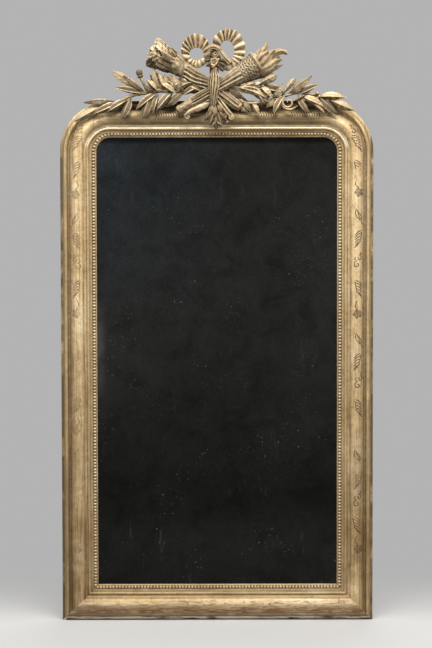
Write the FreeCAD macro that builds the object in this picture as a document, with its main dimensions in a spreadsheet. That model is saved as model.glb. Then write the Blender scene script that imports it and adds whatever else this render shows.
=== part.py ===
# Gilt overmantel mirror with rounded upper corners and a carved crest.
# X runs to the right, Z up and Y back towards the wall. The origin is the middle of the bottom
# rail's underside, on which the mirror stands. A depth is measured forward from the back plane.
import FreeCAD, Part
import math
import os
import Sketcher
from FreeCAD import Placement, Rotation, Vector
from types import SimpleNamespace

# Driving dimensions, in millimetres, degrees and counts
SIZES = {
    # Whole frame
    "frame_width": 900,
    "frame_height": 1500,
    "corner_radius": 145,
    # Gilt moulding, band by band from its outer edge to the sight edge
    "plinth_rise": 14,
    "cove_width": 11,
    "cove_rise": 10,
    "cove_hollow": 2,
    "roll_width": 10,
    "roll_swell": 4,
    "quirk_width": 6,
    "quirk_drop": 6,
    "swell_width": 25,
    "swell_rise": 22,
    "swell_bulge": 4,
    "fall_width": 14,
    "fall_drop": 7,
    "fall_bulge": 1.5,
    "hollow_width": 9,
    "hollow_drop": 10,
    "hollow_dip": 1.5,
    "astragal_width": 9,
    "astragal_swell": 4.2,
    "flat_width": 7,
    "flat_drop": 5,
    "seat_width": 10,
    "seat_drop": 6,
    "sight_width": 6,
    "sight_rise": 4,
    "sight_slope": 3,
    "rebate_width": 12,
    "glass_seat": 7,
    # Bead strips
    "bead_radius": 4.1,
    "bead_pitch": 9.1,
    "strip_thickness": 4.4,
    "strip_clearance": 0.3,
    # Pine carcase
    "carcase_depth": 28,
    "carcase_setback": 6,
    "board_rebate": 14,
    # Glass and what holds it
    "glass_thickness": 5,
    "glass_clearance": 1,
    "tin_thickness": 0.3,
    "block_length": 60,
    "block_width": 12,
    "block_thickness": 17,
    # Backboards
    "board_thickness": 10,
    "board_clearance": 1,
    "board_count": 5,
    "nail_radius": 1.2,
    "nail_head_radius": 3.4,
    "nail_head_height": 1.2,
    "nail_length": 24,
    # Strap hangers with their rings
    "hanger_drop": 350,
    "strap_width": 18,
    "strap_thickness": 2,
    "strap_length": 92,
    "ring_wire": 4.5,
    "ring_width": 44,
    "ring_drop": 42,
    "ring_bend": 6,
    "ring_clearance": 0.3,
    "screw_radius": 2,
    "screw_clearance": 0.4,
    "screw_head_radius": 4.2,
    "screw_head_height": 1.8,
    "screw_length": 22,
    "lower_screw_drop": 82,
    "upper_screw_drop": 62,
    # Crest as a whole
    "crest_back": 36,
    "crest_depth": 64,
    "crest_reach": 400,
    "crest_rise": 200,
    "crossing_offset": 7,
    "crossing_rise": 28,
    "crest_gap": 0.3,
    # Post and iron strap behind the crest
    "post_width": 26,
    "post_rise": 135,
    "iron_width": 20,
    "iron_thickness": 3,
    "iron_drop": 62,
    "iron_rise": 110,
    "iron_screw_inset": 14,
    "iron_screw_pitch": 30,
    # Torch
    "torch_tilt": 30,
    "torch_lean": 4,
    "torch_depth": 72,
    "torch_tail": 123,
    "torch_reach": 85,
    "torch_end_radius": 10.5,
    "torch_top_radius": 19,
    "torch_cap_height": 14,
    "flute_radius": 5,
    "flute_depth": 2,
    "flute_count": 10,
    "cup_height": 60,
    "cup_foot_radius": 23,
    "cup_brim_radius": 35,
    "cup_rim_radius": 40,
    "cup_rim_height": 8,
    "cup_wall": 6,
    "cup_hollow": 22,
    # Quiver and arrows
    "quiver_tilt": 33.5,
    "quiver_lean": 3,
    "quiver_depth": 64,
    "quiver_tail": 117,
    "quiver_reach": 157,
    "quiver_point": 30,
    "quiver_tail_radius": 12,
    "quiver_neck_radius": 25,
    "quiver_mouth_radius": 32,
    "quiver_collar": 34,
    "quiver_band_radius": 28,
    "quiver_band_height": 8,
    "quiver_recess": 10,
    "quiver_wall": 5,
    "arrow_reach": 58,
    "feather_width": 19,
    "feather_thickness": 9,
    "arrow_row_gap": 15,
    "arrow_spread": 12,
    "arrow_fan": 8,
    # Band round the crossing
    "wrap_width": 34,
    "wrap_low": 50,
    "wrap_high": 60,
    "wrap_front": 55,
    "wrap_pleat": 3.5,
    "wrap_pleat_count": 6,
    # Ribbon bow
    "ribbon_thickness": 4,
    "ribbon_ripple": 4,
    "ribbon_pleat_count": 16,
    "knot_radius": 14,
    "knot_height": 25,
    "knot_dome": 6,
    "tail_width": 14,
    "berry_radius": 7,
    "berry_core_radius": 9,
    # Laurel and the leaves below the crossing
    "stem_radius": 4.5,
    "stem_tip_radius": 2.5,
    "leaf_thickness": 7,
    "leaf_bow": 5,
    "scroll_radius": 8,
    "volute_radius": 9,
    "tassel_radius": 5,
    # How far a cutting shape runs past what it cuts
    "overrun": 20,
}

doc = FreeCAD.newDocument("gilt_mirror")
sheet = doc.addObject("Spreadsheet::Sheet", "Sizes")
for row, (alias, number) in enumerate(SIZES.items(), start=1):
    sheet.set(f"A{row}", alias)
    sheet.set(f"B{row}", str(number))
    sheet.setAlias(f"B{row}", alias)
doc.recompute()


class Size:
    """A length worked out from the sheet: its value now, and its formula for the document."""

    def __init__(self, value, formula):
        self.value = float(value)
        self.formula = formula

    @staticmethod
    def of(other):
        return other if isinstance(other, Size) else Size(other, repr(float(other)))

    def _join(self, other, mark, value):
        return Size(value, f"({self.formula} {mark} {other.formula})")

    def __add__(self, other):
        other = Size.of(other)
        return self._join(other, "+", self.value + other.value)

    def __sub__(self, other):
        other = Size.of(other)
        return self._join(other, "-", self.value - other.value)

    def __mul__(self, other):
        other = Size.of(other)
        return self._join(other, "*", self.value * other.value)

    def __truediv__(self, other):
        other = Size.of(other)
        return self._join(other, "/", self.value / other.value)

    def __neg__(self):
        return Size.of(0) - self

    def __radd__(self, other):
        return Size.of(other) + self

    def __rsub__(self, other):
        return Size.of(other) - self

    __rmul__ = __mul__


S = SimpleNamespace(**{alias: Size(sheet.get(alias), f"Sizes.{alias}") for alias in SIZES})
NONE = Size.of(0)
nodes = {}

# Places that several pieces share
half_width = S.frame_width / 2
back_y = S.carcase_depth / 2
straight_top = S.frame_height - S.corner_radius
seat_start = (S.cove_width + S.roll_width + S.quirk_width + S.swell_width + S.fall_width
              + S.hollow_width + S.astragal_width + S.flat_width)
moulding_width = seat_start + S.seat_width + S.sight_width
glass_wall = moulding_width - S.rebate_width
carcase_reach = glass_wall
carcase_width = carcase_reach - S.carcase_setback
rebate_edge = carcase_reach - S.board_rebate
seat_floor = (S.plinth_rise + S.cove_rise - S.quirk_drop + S.swell_rise - S.fall_drop
              - S.hollow_drop - S.flat_drop - S.seat_drop)
bead_line = seat_start + S.seat_width / 2
mitre_room = S.bead_radius * math.sqrt(2) - S.bead_pitch / 2 + S.strip_clearance
glass_front = S.carcase_depth + S.glass_seat
tin_front = glass_front - S.glass_thickness

# The way a piece's own x and y lie; z follows by the right hand
FACING = Rotation(Vector(1, 0, 0), Vector(0, 0, 1), Vector(0, -1, 0), "XYZ")
DOWN_LEFT_SIDE = Rotation(Vector(1, 0, 0), Vector(0, -1, 0), Vector(0, 0, -1), "XYZ")
ALONG_BOTTOM = Rotation(Vector(0, 0, 1), Vector(0, -1, 0), Vector(1, 0, 0), "XYZ")
ALONG_TOP = Rotation(Vector(0, 0, -1), Vector(0, -1, 0), Vector(-1, 0, 0), "XYZ")
LEFT_CORNER = Rotation(Vector(-1, 0, 0), Vector(0, -1, 0), Vector(0, 0, 1), "XYZ")
ON_BACK = Rotation(Vector(0, 1, 0), Vector(0, 0, -1), Vector(-1, 0, 0), "XYZ")
FROM_SIDE = Rotation(Vector(0, -1, 0), Vector(0, 0, 1), Vector(-1, 0, 0), "XYZ")


# Tools for the document

def bind(thing, prop, size):
    """Tie a property to the sheet."""
    thing.setExpression(prop, Size.of(size).formula)


def place(thing, x, y, z, rotation=None):
    """Set a piece's placement, with its base tied to the sheet."""
    base = [Size.of(part) for part in (x, y, z)]
    thing.Placement = Placement(Vector(*(part.value for part in base)), rotation or Rotation())
    for axis, part in zip("xyz", base):
        bind(thing, f"Placement.Base.{axis}", part)


def node(name, thing):
    """Enter a finished piece under its node's name."""
    thing.Label = name
    nodes[name] = thing
    return thing


def new_body(name):
    return doc.addObject("PartDesign::Body", name)


def new_sketch(body, plane, lift=None):
    """A sketch on one of the body's own planes, moved off it by lift."""
    sketch = body.newObject("Sketcher::SketchObject", f"{body.Name}_sketch")
    support = next(item for item in body.Origin.OriginFeatures if item.Role == plane)
    sketch.AttachmentSupport = (support, "")
    sketch.MapMode = "FlatFace"
    if lift is not None:
        bind(sketch, "AttachmentOffset.Base.z", lift)
    return sketch


def arc_radius(start, end, bulge):
    """The radius of the arc that stands bulge away from the chord between two points."""
    run = end[0] - start[0]
    climb = end[1] - start[1]
    return (run * run + climb * climb) / (bulge * 8) + bulge / 2


def outline(sketch, points, bulges=None):
    """Draw a closed outline; a side with a bulge is an arc, to the left of the way round if plus."""
    bulges = bulges or {}
    points = [(Size.of(x), Size.of(y)) for x, y in points]
    sides = []
    ties = []
    for index, start in enumerate(points):
        end = points[(index + 1) % len(points)]
        first = Vector(start[0].value, start[1].value, 0)
        last = Vector(end[0].value, end[1].value, 0)
        if index not in bulges:
            sides.append((sketch.addGeometry(Part.LineSegment(first, last), False), 1, 2))
            continue
        bulge = bulges[index]
        leftward = bulge.value > 0
        radius = arc_radius(start, end, bulge if leftward else -bulge)
        across = last - first
        normal = Vector(-across.y, across.x, 0).normalize()
        middle = (first + last) / 2 + normal * bulge.value
        center = middle - normal * (radius.value if leftward else -radius.value)
        opening, closing = (last, first) if leftward else (first, last)
        angles = [math.atan2(end_point.y - center.y, end_point.x - center.x)
                  for end_point in (opening, closing)]
        circle = Part.Circle(center, Vector(0, 0, 1), radius.value)
        side = sketch.addGeometry(Part.ArcOfCircle(circle, *angles), False)
        sides.append((side, 2, 1) if leftward else (side, 1, 2))
        ties.append((Sketcher.Constraint("Radius", side, radius.value), radius))
    for index, (side, opening, closing) in enumerate(sides):
        follower = sides[(index + 1) % len(sides)]
        ties.append((Sketcher.Constraint("Coincident", side, closing, follower[0], follower[1]), None))
        for kind, size in zip(("DistanceX", "DistanceY"), points[index]):
            ties.append((Sketcher.Constraint(kind, -1, 1, side, opening, size.value), size))
    tie_down(sketch, ties)


def circle(sketch, x, y, radius):
    """Draw a circle whose place and radius follow the sheet."""
    x, y, radius = Size.of(x), Size.of(y), Size.of(radius)
    ring = Part.Circle(Vector(x.value, y.value, 0), Vector(0, 0, 1), radius.value)
    side = sketch.addGeometry(ring, False)
    tie_down(sketch, [(Sketcher.Constraint("Radius", side, radius.value), radius),
                      (Sketcher.Constraint("DistanceX", -1, 1, side, 3, x.value), x),
                      (Sketcher.Constraint("DistanceY", -1, 1, side, 3, y.value), y)])


def tie_down(sketch, ties):
    """Add constraints and bind those that hold a size."""
    first = sketch.ConstraintCount
    sketch.addConstraint([constraint for constraint, size in ties])
    for offset, (constraint, size) in enumerate(ties):
        if size is not None:
            bind(sketch, f"Constraints[{first + offset}]", size)


def pad(body, sketch, length, symmetric=False):
    feature = body.newObject("PartDesign::Pad", f"{body.Name}_pad")
    feature.Profile = sketch
    feature.SideType = "Symmetric" if symmetric else "One side"
    bind(feature, "Length", length)
    return feature


def pocket(body, sketch, depth=None):
    """Cut a sketch away, to a depth or right through both ways."""
    feature = body.newObject("PartDesign::Pocket", f"{body.Name}_pocket")
    feature.Profile = sketch
    if depth is None:
        feature.Type = "ThroughAll"
        feature.SideType = "Symmetric"
    else:
        bind(feature, "Length", depth)
    return feature


def revolve(body, sketch, angle=360, backwards=False):
    """Turn a sketch about its own upright axis."""
    feature = body.newObject("PartDesign::Revolution", f"{body.Name}_turn")
    feature.Profile = sketch
    feature.ReferenceAxis = (sketch, ["V_Axis"])
    feature.Angle = angle
    feature.Reversed = backwards
    return feature


def mirrored(name, source):
    """The right-hand twin of a piece on the left."""
    twin = doc.addObject("Part::Mirroring", name)
    twin.Source = source
    twin.Normal = Vector(1, 0, 0)
    return node(name, twin)


def solid(name, shape):
    """Enter a shape that the code has worked out."""
    thing = doc.addObject("Part::Feature", name)
    thing.Shape = shape
    thing.Placement = Placement()
    return node(name, thing)


def taken_from(name, base, tool):
    """A piece with a room cut out of it for another one."""
    cut = doc.addObject("Part::Cut", name)
    cut.Base = base
    cut.Tool = tool
    return cut


# Gilt moulding

def moulding_profile(sketch, turned=False):
    """The moulding's section: across from the outer edge, or out from the corner's axis if turned."""
    steps = [(NONE, NONE), (NONE, S.plinth_rise), (S.cove_width, S.cove_rise), (S.roll_width, NONE),
             (NONE, -S.quirk_drop), (S.quirk_width, NONE), (S.swell_width, S.swell_rise),
             (S.fall_width, -S.fall_drop), (S.hollow_width, -S.hollow_drop),
             (S.astragal_width, NONE), (NONE, -S.flat_drop), (S.flat_width, NONE),
             (NONE, -S.seat_drop), (S.seat_width, NONE), (NONE, S.sight_rise),
             (S.sight_width, -S.sight_slope)]
    points = []
    across, forward = NONE, NONE
    for step_across, step_forward in steps:
        across = across + step_across
        forward = forward + step_forward
        points.append((across, forward))
    points += [(moulding_width, S.glass_seat), (glass_wall, S.glass_seat), (glass_wall, NONE)]
    bulges = {1: -S.cove_hollow, 2: S.roll_swell, 5: S.swell_bulge, 6: S.fall_bulge,
              7: -S.hollow_dip, 8: S.astragal_swell}
    if turned:
        points = [(S.corner_radius - across, forward) for across, forward in points]
        bulges = {side: -bulge for side, bulge in bulges.items()}
    outline(sketch, points, bulges)


def mitre(body, end, rise):
    """Cut an end of a length to 45 degrees; rise is the way that the length runs from that end."""
    reach = moulding_width + S.overrun
    sketch = new_sketch(body, "XZ_Plane")
    outline(sketch, [(NONE, end), (reach, end + reach * rise), (reach, end)])
    pocket(body, sketch)


def moulding_length(name, length, x, z, rotation, mitred_start=False, mitred_end=False):
    body = new_body(name)
    sketch = new_sketch(body, "XY_Plane")
    moulding_profile(sketch)
    pad(body, sketch, length)
    if mitred_start:
        mitre(body, NONE, 1)
    if mitred_end:
        mitre(body, length, -1)
    place(body, x, back_y - S.carcase_depth, z, rotation)
    return node(name, body)


def make_mouldings():
    left = moulding_length("moulding_left", straight_top, -half_width, straight_top,
                           DOWN_LEFT_SIDE, mitred_end=True)
    mirrored("moulding_right", left)
    moulding_length("moulding_bottom", S.frame_width, -half_width, NONE, ALONG_BOTTOM,
                    mitred_start=True, mitred_end=True)
    moulding_length("moulding_top", S.frame_width - S.corner_radius * 2, half_width - S.corner_radius,
                    S.frame_height, ALONG_TOP)
    corner = new_body("moulding_corner_left")
    sketch = new_sketch(corner, "XY_Plane")
    moulding_profile(sketch, turned=True)
    revolve(corner, sketch, angle=90, backwards=True)
    place(corner, S.corner_radius - half_width, back_y - S.carcase_depth, straight_top, LEFT_CORNER)
    mirrored("moulding_corner_right", node("moulding_corner_left", corner))


# Bead strips

def strip_y():
    return (back_y - S.carcase_depth - seat_floor).value


def beads_along(start, end):
    """Half pearls at an even pitch between two points on the strip's front."""
    run = end - start
    count = max(1, round(run.Length / S.bead_pitch.value))
    lift = Vector(0, strip_y() - S.strip_thickness.value, 0)
    return [Part.makeSphere(S.bead_radius.value, start + run * ((index + 0.5) / count) + lift)
            for index in range(count)]


def straight_strip(corners, start, end):
    """A strip with the given front outline and its row of pearls."""
    lift = Vector(0, strip_y(), 0)
    face = Part.Face(Part.makePolygon([corner + lift for corner in corners + corners[:1]]))
    strip = face.extrude(Vector(0, -S.strip_thickness.value, 0))
    return strip.multiFuse(beads_along(start, end))


def make_beads():
    outer = (seat_start + S.strip_clearance).value
    inner = (seat_start + S.seat_width - S.strip_clearance).value
    line = bead_line.value
    first = line + mitre_room.value
    half = half_width.value
    top = S.frame_height.value
    turn = straight_top.value
    center = Vector(S.corner_radius.value - half, 0, turn)
    left = straight_strip([Vector(outer - half, 0, outer), Vector(inner - half, 0, inner),
                           Vector(inner - half, 0, turn), Vector(outer - half, 0, turn)],
                          Vector(line - half, 0, first), Vector(line - half, 0, turn))
    mirrored("beads_right", solid("beads_left", left))
    bottom = straight_strip([Vector(outer - half, 0, outer), Vector(half - outer, 0, outer),
                             Vector(half - inner, 0, inner), Vector(inner - half, 0, inner)],
                            Vector(first - half, 0, line), Vector(half - first, 0, line))
    solid("beads_bottom", bottom)
    upper = straight_strip([Vector(center.x, 0, top - outer), Vector(-center.x, 0, top - outer),
                            Vector(-center.x, 0, top - inner), Vector(center.x, 0, top - inner)],
                           Vector(center.x, 0, top - line), Vector(-center.x, 0, top - line))
    solid("beads_top", upper)
    mirrored("beads_corner_right", solid("beads_corner_left", corner_strip(center, outer, inner, line)))


def corner_strip(center, outer, inner, line):
    """The quarter ring of strip and pearls in the upper left corner."""
    radius = S.corner_radius.value
    outward = Vector(-1, 0, 0)
    lift = Vector(0, strip_y(), 0)
    section = [center + lift + outward * (radius - outer), center + lift + outward * (radius - inner)]
    rise = Vector(0, -S.strip_thickness.value, 0)
    section += [section[1] + rise, section[0] + rise]
    face = Part.Face(Part.makePolygon(section + section[:1]))
    strip = face.revolve(center, Vector(0, 1, 0), 90)
    arm = radius - line
    count = round(arm * math.pi / 2 / S.bead_pitch.value)
    pearls = []
    for index in range(count):
        angle = math.pi / 2 * (index + 0.5) / count
        spot = center + lift + rise + Vector(-arm * math.cos(angle), 0, arm * math.sin(angle))
        pearls.append(Part.makeSphere(S.bead_radius.value, spot))
    return strip.multiFuse(pearls)


# Pine carcase

def carcase_length(name, length, width, rebate_from, rebate_to, laps, lap_from, lap_depth):
    """A rail or stile with its rebate for the boards and its halved ends."""
    body = new_body(name)
    section = new_sketch(body, "XY_Plane")
    outline(section, [(NONE, NONE), (width, NONE), (width, S.carcase_depth), (NONE, S.carcase_depth)])
    pad(body, section, length)
    rebate = new_sketch(body, "XZ_Plane")
    outline(rebate, [(width - S.board_rebate, rebate_from), (width, rebate_from),
                     (width, rebate_to), (width - S.board_rebate, rebate_to)])
    pocket(body, rebate, S.board_thickness)
    for low, high in laps:
        lap = new_sketch(body, "YZ_Plane")
        outline(lap, [(lap_from, low), (lap_from + lap_depth, low),
                      (lap_from + lap_depth, high), (lap_from, high)])
        pocket(body, lap)
    return body


def make_carcase():
    halved = S.carcase_depth / 2
    stile = carcase_length("stile_left", straight_top, carcase_width, NONE,
                           straight_top - rebate_edge, [(straight_top - carcase_reach, straight_top)],
                           halved, halved)
    place(stile, S.carcase_setback - half_width, back_y, straight_top, DOWN_LEFT_SIDE)
    mirrored("stile_right", node("stile_left", stile))
    length = S.frame_width - S.carcase_setback * 2
    rail = carcase_length("rail_bottom", length, carcase_reach, carcase_width - S.board_rebate,
                          length - carcase_width + S.board_rebate,
                          [(NONE, carcase_width), (length - carcase_width, length)], NONE, halved)
    place(rail, S.carcase_setback - half_width, back_y, NONE, ALONG_BOTTOM)
    node("rail_bottom", rail)
    length = S.frame_width - S.corner_radius * 2
    rail = carcase_length("rail_top", length, carcase_width, NONE, length, [], NONE, NONE)
    place(rail, half_width - S.corner_radius, back_y, S.frame_height - S.carcase_setback, ALONG_TOP)
    node("rail_top", rail)
    block = new_body("corner_block_left")
    sketch = new_sketch(block, "XY_Plane")
    outer = S.corner_radius - S.carcase_setback
    inner = S.corner_radius - carcase_reach
    outline(sketch, [(outer, NONE), (outer, S.carcase_depth), (inner, S.carcase_depth),
                     (inner, S.board_thickness), (inner + S.board_rebate, S.board_thickness),
                     (inner + S.board_rebate, NONE)])
    revolve(block, sketch, angle=90, backwards=True)
    place(block, S.corner_radius - half_width, back_y, straight_top, LEFT_CORNER)
    mirrored("corner_block_right", node("corner_block_left", block))


# Glass and backboards

QUARTER_RISE_SHARE = 1 - math.sqrt(0.5)


def plate(name, edge, low, high, rounded, depth, thickness):
    """An upright plate between the stiles, edge in from the frame's outside, its top corners rounded."""
    body = new_body(name)
    sketch = new_sketch(body, "XY_Plane")
    width = S.frame_width - edge * 2
    height = high - low
    points = [(NONE, NONE), (width, NONE)]
    bulges = {}
    if rounded:
        radius = S.corner_radius - edge
        points += [(width, height - radius), (width - radius, height),
                   (radius, height), (NONE, height - radius)]
        swell = radius * -QUARTER_RISE_SHARE
        bulges = {2: swell, 4: swell}
    else:
        points += [(width, height), (NONE, height)]
    outline(sketch, points, bulges)
    pad(body, sketch, thickness)
    place(body, edge - half_width, back_y - depth, low, FACING)
    return node(name, body)


def make_glass():
    edge = glass_wall + S.glass_clearance
    plate("mirror_glass", edge, edge, S.frame_height - edge, True, tin_front, S.glass_thickness)
    plate("tin_backing", edge, edge, S.frame_height - edge, True, tin_front - S.tin_thickness,
          S.tin_thickness)
    solid("glass_blocks", Part.makeCompound(glass_blocks()))


SIDE_BLOCK_SHARES = (0.1, 0.36, 0.62, 0.88)
CROSS_BLOCK_SHARES = (0.2, 0.8)


def glass_blocks():
    """Blocks glued to the carcase's inner edges, which press on the back of the glass."""
    reach = carcase_reach.value
    half = half_width.value
    front = (back_y - tin_front + S.tin_thickness).value
    long, wide, thick = S.block_length.value, S.block_width.value, S.block_thickness.value
    blocks = []
    for share in SIDE_BLOCK_SHARES:
        low = reach + (straight_top.value - reach - long) * share
        for side in (reach - half, half - reach - wide):
            blocks.append(Part.makeBox(wide, thick, long, Vector(side, front, low)))
    run = (S.frame_width - S.corner_radius * 2 - S.block_length).value
    for share in CROSS_BLOCK_SHARES:
        left = run * (share - 0.5) - long / 2
        for low in (reach, S.frame_height.value - reach - wide):
            blocks.append(Part.makeBox(long, thick, wide, Vector(left, front, low)))
    return blocks


def make_backboards():
    count = int(S.board_count.value)
    edge = rebate_edge + S.board_clearance
    pitch = (S.frame_height - edge * 2 + S.board_clearance) / count
    nails = []
    for index in range(count):
        low = edge + pitch * index
        high = low + pitch - S.board_clearance
        plate(f"backboard_{index + 1}", edge, low, high, index == count - 1, NONE, S.board_thickness)
        nails += board_nails(low.value, pitch.value)
    solid("backboard_nails", Part.makeCompound(nails))


NAIL_HEIGHT_SHARES = (0.2, 0.7)


def board_nails(low, pitch):
    """Two nails at each end of a board, with their heads sunk flush."""
    across = (half_width - (rebate_edge + carcase_reach) / 2).value
    forward = Vector(0, -1, 0)
    nails = []
    for share in NAIL_HEIGHT_SHARES:
        for side in (-across, across):
            head = Vector(side, back_y.value, low + pitch * share)
            shank = Part.makeCylinder(S.nail_radius.value, S.nail_length.value, head, forward)
            nails.append(shank.fuse(Part.makeCylinder(S.nail_head_radius.value,
                                                      S.nail_head_height.value, head, forward)))
    return nails


# Hangers on the back

eye_radius = S.ring_wire / 2 + S.ring_clearance + S.strap_thickness
hanger_x = half_width - (S.carcase_setback + rebate_edge) / 2
hanger_rise = S.frame_height - S.hanger_drop


def back_screw(x, z, depth_behind):
    """A round-headed screw driven forward; its head lies on a plate of the given thickness."""
    head = Vector(x, back_y.value + depth_behind, z)
    shank = Part.makeCylinder(S.screw_radius.value, S.screw_length.value, head, Vector(0, -1, 0))
    return shank.fuse(Part.makeCylinder(S.screw_head_radius.value, S.screw_head_height.value, head,
                                        Vector(0, 1, 0)))


def make_hangers():
    strap = new_body("hanger_plate_left")
    leaf = new_sketch(strap, "XY_Plane")
    outline(leaf, [(NONE, eye_radius), (S.strap_thickness, eye_radius),
                   (S.strap_thickness, eye_radius + S.strap_length), (NONE, eye_radius + S.strap_length)])
    pad(strap, leaf, S.strap_width, symmetric=True)
    eye = new_sketch(strap, "XY_Plane")
    circle(eye, eye_radius, eye_radius, eye_radius)
    pad(strap, eye, S.strap_width, symmetric=True)
    bore = new_sketch(strap, "XY_Plane")
    circle(bore, eye_radius, eye_radius, S.ring_wire / 2 + S.ring_clearance)
    pocket(strap, bore)
    for drop in (S.upper_screw_drop, S.lower_screw_drop):
        hole = new_sketch(strap, "YZ_Plane")
        circle(hole, eye_radius + drop, NONE, S.screw_radius + S.screw_clearance)
        pocket(strap, hole, S.strap_thickness).Reversed = True
    place(strap, -hanger_x, back_y, hanger_rise + eye_radius, ON_BACK)
    mirrored("hanger_plate_right", node("hanger_plate_left", strap))
    mirrored("hanger_ring_right", node("hanger_ring_left", hanger_ring()))
    screws = [back_screw(side, (hanger_rise - drop).value, S.strap_thickness.value)
              for side in (-hanger_x.value, hanger_x.value)
              for drop in (S.upper_screw_drop, S.lower_screw_drop)]
    solid("hanger_screws", Part.makeCompound(screws))


def hanger_ring():
    """A bent wire ring that hangs from its straight bar in the strap's eye."""
    ring = new_body("hanger_ring_left")
    path = new_sketch(ring, "XY_Plane")
    half = (S.ring_width - S.ring_wire) / 2
    drop = S.ring_drop - S.ring_wire / 2 - half
    corner = S.ring_bend
    quarter = corner * -QUARTER_RISE_SHARE
    outline(path, [(-half + corner, NONE), (half - corner, NONE), (half, -corner), (half, -drop),
                   (NONE, -drop - half), (-half, -drop), (-half, -corner)],
            {1: -quarter, 3: half * QUARTER_RISE_SHARE, 4: half * QUARTER_RISE_SHARE, 6: -quarter})
    wire = new_sketch(ring, "YZ_Plane")
    circle(wire, NONE, NONE, S.ring_wire / 2)
    pipe = ring.newObject("PartDesign::AdditivePipe", "hanger_ring_pipe")
    pipe.Profile = wire
    pipe.Spine = path
    place(ring, -hanger_x, back_y + eye_radius, hanger_rise, FACING)
    return ring


# Post and iron strap that hold the crest

def make_post():
    top = S.frame_height
    post = new_body("crest_block")
    side = new_sketch(post, "XY_Plane")
    outline(side, [(NONE, top - S.carcase_setback), (S.carcase_depth, top - S.carcase_setback),
                   (S.carcase_depth, top), (S.crest_back, top), (S.crest_back, top + S.post_rise),
                   (NONE, top + S.post_rise)])
    pad(post, side, S.post_width, symmetric=True)
    place(post, -S.crossing_offset, back_y, NONE, FROM_SIDE)
    node("crest_block", post)
    strap = new_body("crest_strap")
    front = new_sketch(strap, "XY_Plane")
    half = S.iron_width / 2
    outline(front, [(-half, -S.iron_drop), (half, -S.iron_drop),
                    (half, S.iron_rise), (-half, S.iron_rise)])
    lowest = S.iron_screw_inset - S.iron_drop
    highest = S.iron_rise - S.iron_screw_inset
    heights = [lowest, lowest + S.iron_screw_pitch, highest - S.iron_screw_pitch, highest]
    for height in heights:
        circle(front, NONE, height, S.screw_radius + S.screw_clearance)
    pad(strap, front, S.iron_thickness)
    place(strap, -S.crossing_offset, back_y + S.iron_thickness, top, FACING)
    node("crest_strap", strap)
    screws = [back_screw(-S.crossing_offset.value, (top + height).value, S.iron_thickness.value)
              for height in heights]
    solid("crest_screws", Part.makeCompound(screws))


# Crest: how its places and cutters are worked out

crossing = Vector(-S.crossing_offset.value, 0, (S.frame_height + S.crossing_rise).value)


def crest_point(x_share, z_share, depth_share):
    """A place on the crest, as shares of its reach, its rise and its depth."""
    depth = S.crest_back.value + S.crest_depth.value * depth_share
    return Vector(S.crest_reach.value * x_share, back_y.value - depth,
                  S.frame_height.value + S.crest_rise.value * z_share)


def axis_placement(side, tilt, lean, depth, along):
    """A local z that rises from the crossing to one side (1 or -1), leaning back to the wall."""
    tilt, lean = math.radians(tilt.value), math.radians(lean.value)
    direction = Vector(side * math.cos(tilt) * math.cos(lean), math.sin(lean),
                       math.sin(tilt) * math.cos(lean))
    base = crossing + Vector(0, back_y.value - depth.value, 0) + direction * along.value
    return Placement(base, Rotation(Vector(0, 0, 1), direction))


def torch_placement(along):
    return axis_placement(1, S.torch_tilt, S.torch_lean, S.torch_depth, along)


def quiver_placement(along):
    return axis_placement(-1, S.quiver_tilt, S.quiver_lean, S.quiver_depth, along)


def cone(placement, low_radius, high_radius, height):
    """A plain tapered solid on a slanted axis, which makes room for a turned piece."""
    low = low_radius.value + S.crest_gap.value
    high = high_radius.value + S.crest_gap.value
    if low == high:
        shape = Part.makeCylinder(low, height.value)
    else:
        shape = Part.makeCone(low, high, height.value)
    shape.Placement = placement
    return shape


def torch_room():
    shaft = cone(torch_placement(-S.torch_tail), S.torch_end_radius, S.torch_top_radius,
                 S.torch_tail + S.torch_reach)
    cup = cone(torch_placement(S.torch_reach), S.cup_foot_radius + S.cup_wall / 2, S.cup_rim_radius,
               S.cup_height)
    return [shaft, cup]


def quiver_room():
    barrel = cone(quiver_placement(S.quiver_point - S.quiver_tail), S.quiver_tail_radius,
                  S.quiver_neck_radius, S.quiver_tail + S.quiver_reach - S.quiver_point
                  - S.quiver_collar - S.quiver_band_height)
    point = cone(quiver_placement(-S.quiver_tail), S.quiver_wall, S.quiver_tail_radius, S.quiver_point)
    band = cone(quiver_placement(S.quiver_reach - S.quiver_collar - S.quiver_band_height),
                S.quiver_band_radius, S.quiver_band_radius, S.quiver_band_height)
    collar = cone(quiver_placement(S.quiver_reach - S.quiver_collar), S.quiver_neck_radius,
                  S.quiver_mouth_radius, S.quiver_collar)
    return [barrel, point, band, collar]


def room_behind_crest():
    """The space behind the carving's flat back."""
    box = doc.addObject("Part::Box", "room_behind_crest")
    bind(box, "Length", S.frame_width)
    bind(box, "Width", S.crest_back + S.overrun)
    bind(box, "Height", S.crest_rise * 2)
    place(box, -half_width, back_y - S.crest_back, S.frame_height - S.crest_rise)
    return box


# Turned pieces of the crest

def turned_body(name, points, placement, bulges=None):
    """A piece turned about its local z, from an outline of radius against height."""
    body = new_body(name)
    sketch = new_sketch(body, "XZ_Plane")
    outline(sketch, points, bulges)
    revolve(body, sketch)
    body.Placement = placement
    return body


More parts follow.
